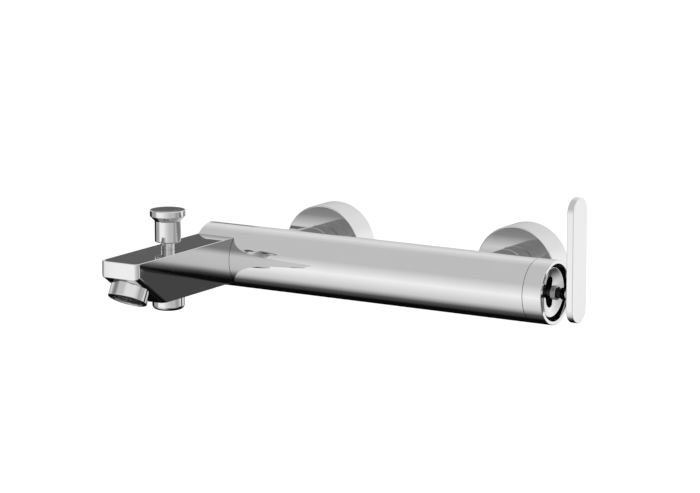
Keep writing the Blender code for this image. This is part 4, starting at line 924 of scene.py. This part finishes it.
def studio_world():
    """White for the camera, even soft light for dull surfaces, and soft studio panels for gloss.

    The panels lie round the bar's axis at the left and round the compass at the right.
    """
    world = bpy.data.worlds.new("studio")
    bpy.context.scene.world = world
    world.use_nodes = True
    world.cycles.sampling_method = "NONE"
    tree = world.node_tree
    tree.nodes.clear()
    place = tree.nodes.new("ShaderNodeTexCoord")
    split = tree.nodes.new("ShaderNodeSeparateXYZ")
    tree.links.new(place.outputs["Generated"], split.inputs["Vector"])
    x, y, z = split.outputs
    towards = math_node(tree, "MULTIPLY", y, -1.0)
    round_bar = math_node(tree, "ARCTAN2", z, towards)
    compass = math_node(tree, "ARCTAN2", x, towards)
    path = tree.nodes.new("ShaderNodeLightPath")
    first = tone_ramp(tree, round_bar, ROUND_BAR, -180.0, 180.0)
    again = tone_ramp(tree, round_bar, ROUND_BAR_TWICE, -180.0, 180.0)
    reflected_again = math_node(tree, "GREATER_THAN", path.outputs["Glossy Depth"], 1.5)
    left = mixed(tree, reflected_again, first, again)
    level = tone_ramp(tree, compass, RIGHT_SIDE, -20.0, 200.0)
    above = mixed(tree, reflected_again, grey(RIGHT_ABOVE_TONE), grey(RIGHT_ABOVE_AGAIN_TONE))
    right = mixed(tree, blend_between(tree, z, 0.05, 0.45), level, above)
    behind = math_node(tree, "MULTIPLY", math_node(tree, "MAXIMUM", y, 0.0), 0.45)
    lowness = math_node(tree, "SUBTRACT", z, behind)
    right = mixed(tree, blend_between(tree, lowness, -0.86, -0.58), grey(RIGHT_BELOW_TONE), right)
    panels = mixed(tree, blend_between(tree, x, -0.15, 0.3), left, right)
    far_left = blend_between(tree, x, -0.58, -0.78)
    in_front = blend_between(tree, y, 0.1, -0.3)
    shaded = math_node(tree, "MULTIPLY", far_left, in_front)
    panels = mixed(tree, shaded, panels, (SIDE_SHADE, SIDE_SHADE, SIDE_SHADE, 1.0), "MULTIPLY")

    backgrounds = []
    for strength, colour in ((SOFT_STRENGTH, WHITE), (1.0, panels), (1.0, WHITE)):
        background = tree.nodes.new("ShaderNodeBackground")
        background.inputs["Strength"].default_value = strength
        if isinstance(colour, tuple):
            background.inputs["Color"].default_value = colour
        else:
            tree.links.new(colour, background.inputs["Color"])
        backgrounds.append(background.outputs[0])
    light, gloss, seen = backgrounds
    for ray, instead in (("Is Glossy Ray", gloss), ("Is Camera Ray", seen)):
        mix = tree.nodes.new("ShaderNodeMixShader")
        tree.links.new(path.outputs[ray], mix.inputs[0])
        tree.links.new(light, mix.inputs[1])
        tree.links.new(instead, mix.inputs[2])
        light = mix.outputs[0]
    output = tree.nodes.new("ShaderNodeOutputWorld")
    tree.links.new(light, output.inputs["Surface"])


def floor():
    """A pale floor well below the faucet. It isn't seen in the chrome."""
    half_size = 15.0
    place = Matrix.Translation((0.0, 0.0, -0.32))
    bm = bmesh.new()
    bmesh.ops.create_grid(bm, x_segments=8, y_segments=8, size=half_size, matrix=place)
    plane = new_piece("floor", bm)
    mat, tree, shader = new_material("pale_floor", (0.93, 0.93, 0.93), 0.9, 0.0)
    tint(tree, noise(tree, 3.0), (0.925, 0.925, 0.925), (0.94, 0.94, 0.94), shader)
    plane.data.materials.append(mat)
    plane.visible_glossy = False


def flag(name, centre, facing, width, height, tone):
    """A grey studio flag, seen only in reflections. It is a card that faces along a ray."""
    bm = bmesh.new()
    place = Matrix.Translation(centre) @ facing.to_track_quat("Z", "Y").to_matrix().to_4x4()
    bmesh.ops.create_grid(bm, x_segments=1, y_segments=1, size=0.5,
                          matrix=place @ Matrix.Diagonal((width, height, 1.0, 1.0)))
    card = new_piece(name, bm)
    mat = bpy.data.materials.new(name)
    mat.use_nodes = True
    tree = mat.node_tree
    tree.nodes.clear()
    glow = tree.nodes.new("ShaderNodeEmission")
    glow.inputs["Color"].default_value = grey(tone)
    output = tree.nodes.new("ShaderNodeOutputMaterial")
    tree.links.new(glow.outputs[0], output.inputs["Surface"])
    card.data.materials.append(mat)
    card.visible_camera = False
    card.visible_diffuse = False
    card.visible_shadow = False


def flags():
    """Three flags darken the spout's top, the rounding beside its slope, and its side.

    Each stands where the spot that it darkens sends the camera's rays.
    """
    near = 0.35
    far = 0.5
    back_left = Vector((-0.550, 0.813, 0.190))
    top = Vector((SPOUT_X, (SPOUT_LOW.y + AXIS_Y) / 2.0, SPOUT_HIGH.z))
    flag("flag_top", top + back_left * near, back_left, 0.115, 0.05, 92)
    below_right = Vector((0.683, 0.578, -0.445))
    slope = Vector((SPOUT_HIGH.x, SPOUT_LOW.y + 15.0 * MM, -5.0 * MM))
    flag("flag_slope", slope + below_right * far, below_right, 0.16, 0.16, 40)
    under_bar = Vector((0.569, 0.798, -0.199))
    side = Vector((SPOUT_HIGH.x + 8.0 * MM, DIVERTER.y, -98.0 * MM))
    flag("flag_side", side + under_bar * far, under_bar, 0.135, 0.26, 66)


def camera():
    """The photograph's camera: a long lens, a little above the faucet and to its right."""
    data = bpy.data.cameras.new("camera")
    data.sensor_width = 36.0
    data.lens = 161.2
    data.clip_end = 100.0
    obj = bpy.data.objects.new("camera", data)
    bpy.context.scene.collection.objects.link(obj)
    target = Vector((-0.0208, -0.0733, 0.0149))
    azimuth = math.radians(31.47)
    elevation = math.radians(10.76)
    distance = 2.076
    level = distance * math.cos(elevation)
    offset = Vector((level * math.sin(azimuth), -level * math.cos(azimuth),
                     distance * math.sin(elevation)))
    obj.location = target + offset
    obj.rotation_euler = (-offset).to_track_quat("-Z", "Y").to_euler()
    bpy.context.scene.camera = obj


carried_over()
camera()
bar()
for inlet_side in ("left", "right"):
    inlet(inlet_side)
spout()
aerator()
diverter()
springs()
slotted_cap()
lever()
studio_world()
floor()
flags()
bpy.context.scene.view_settings.view_transform = "Standard"
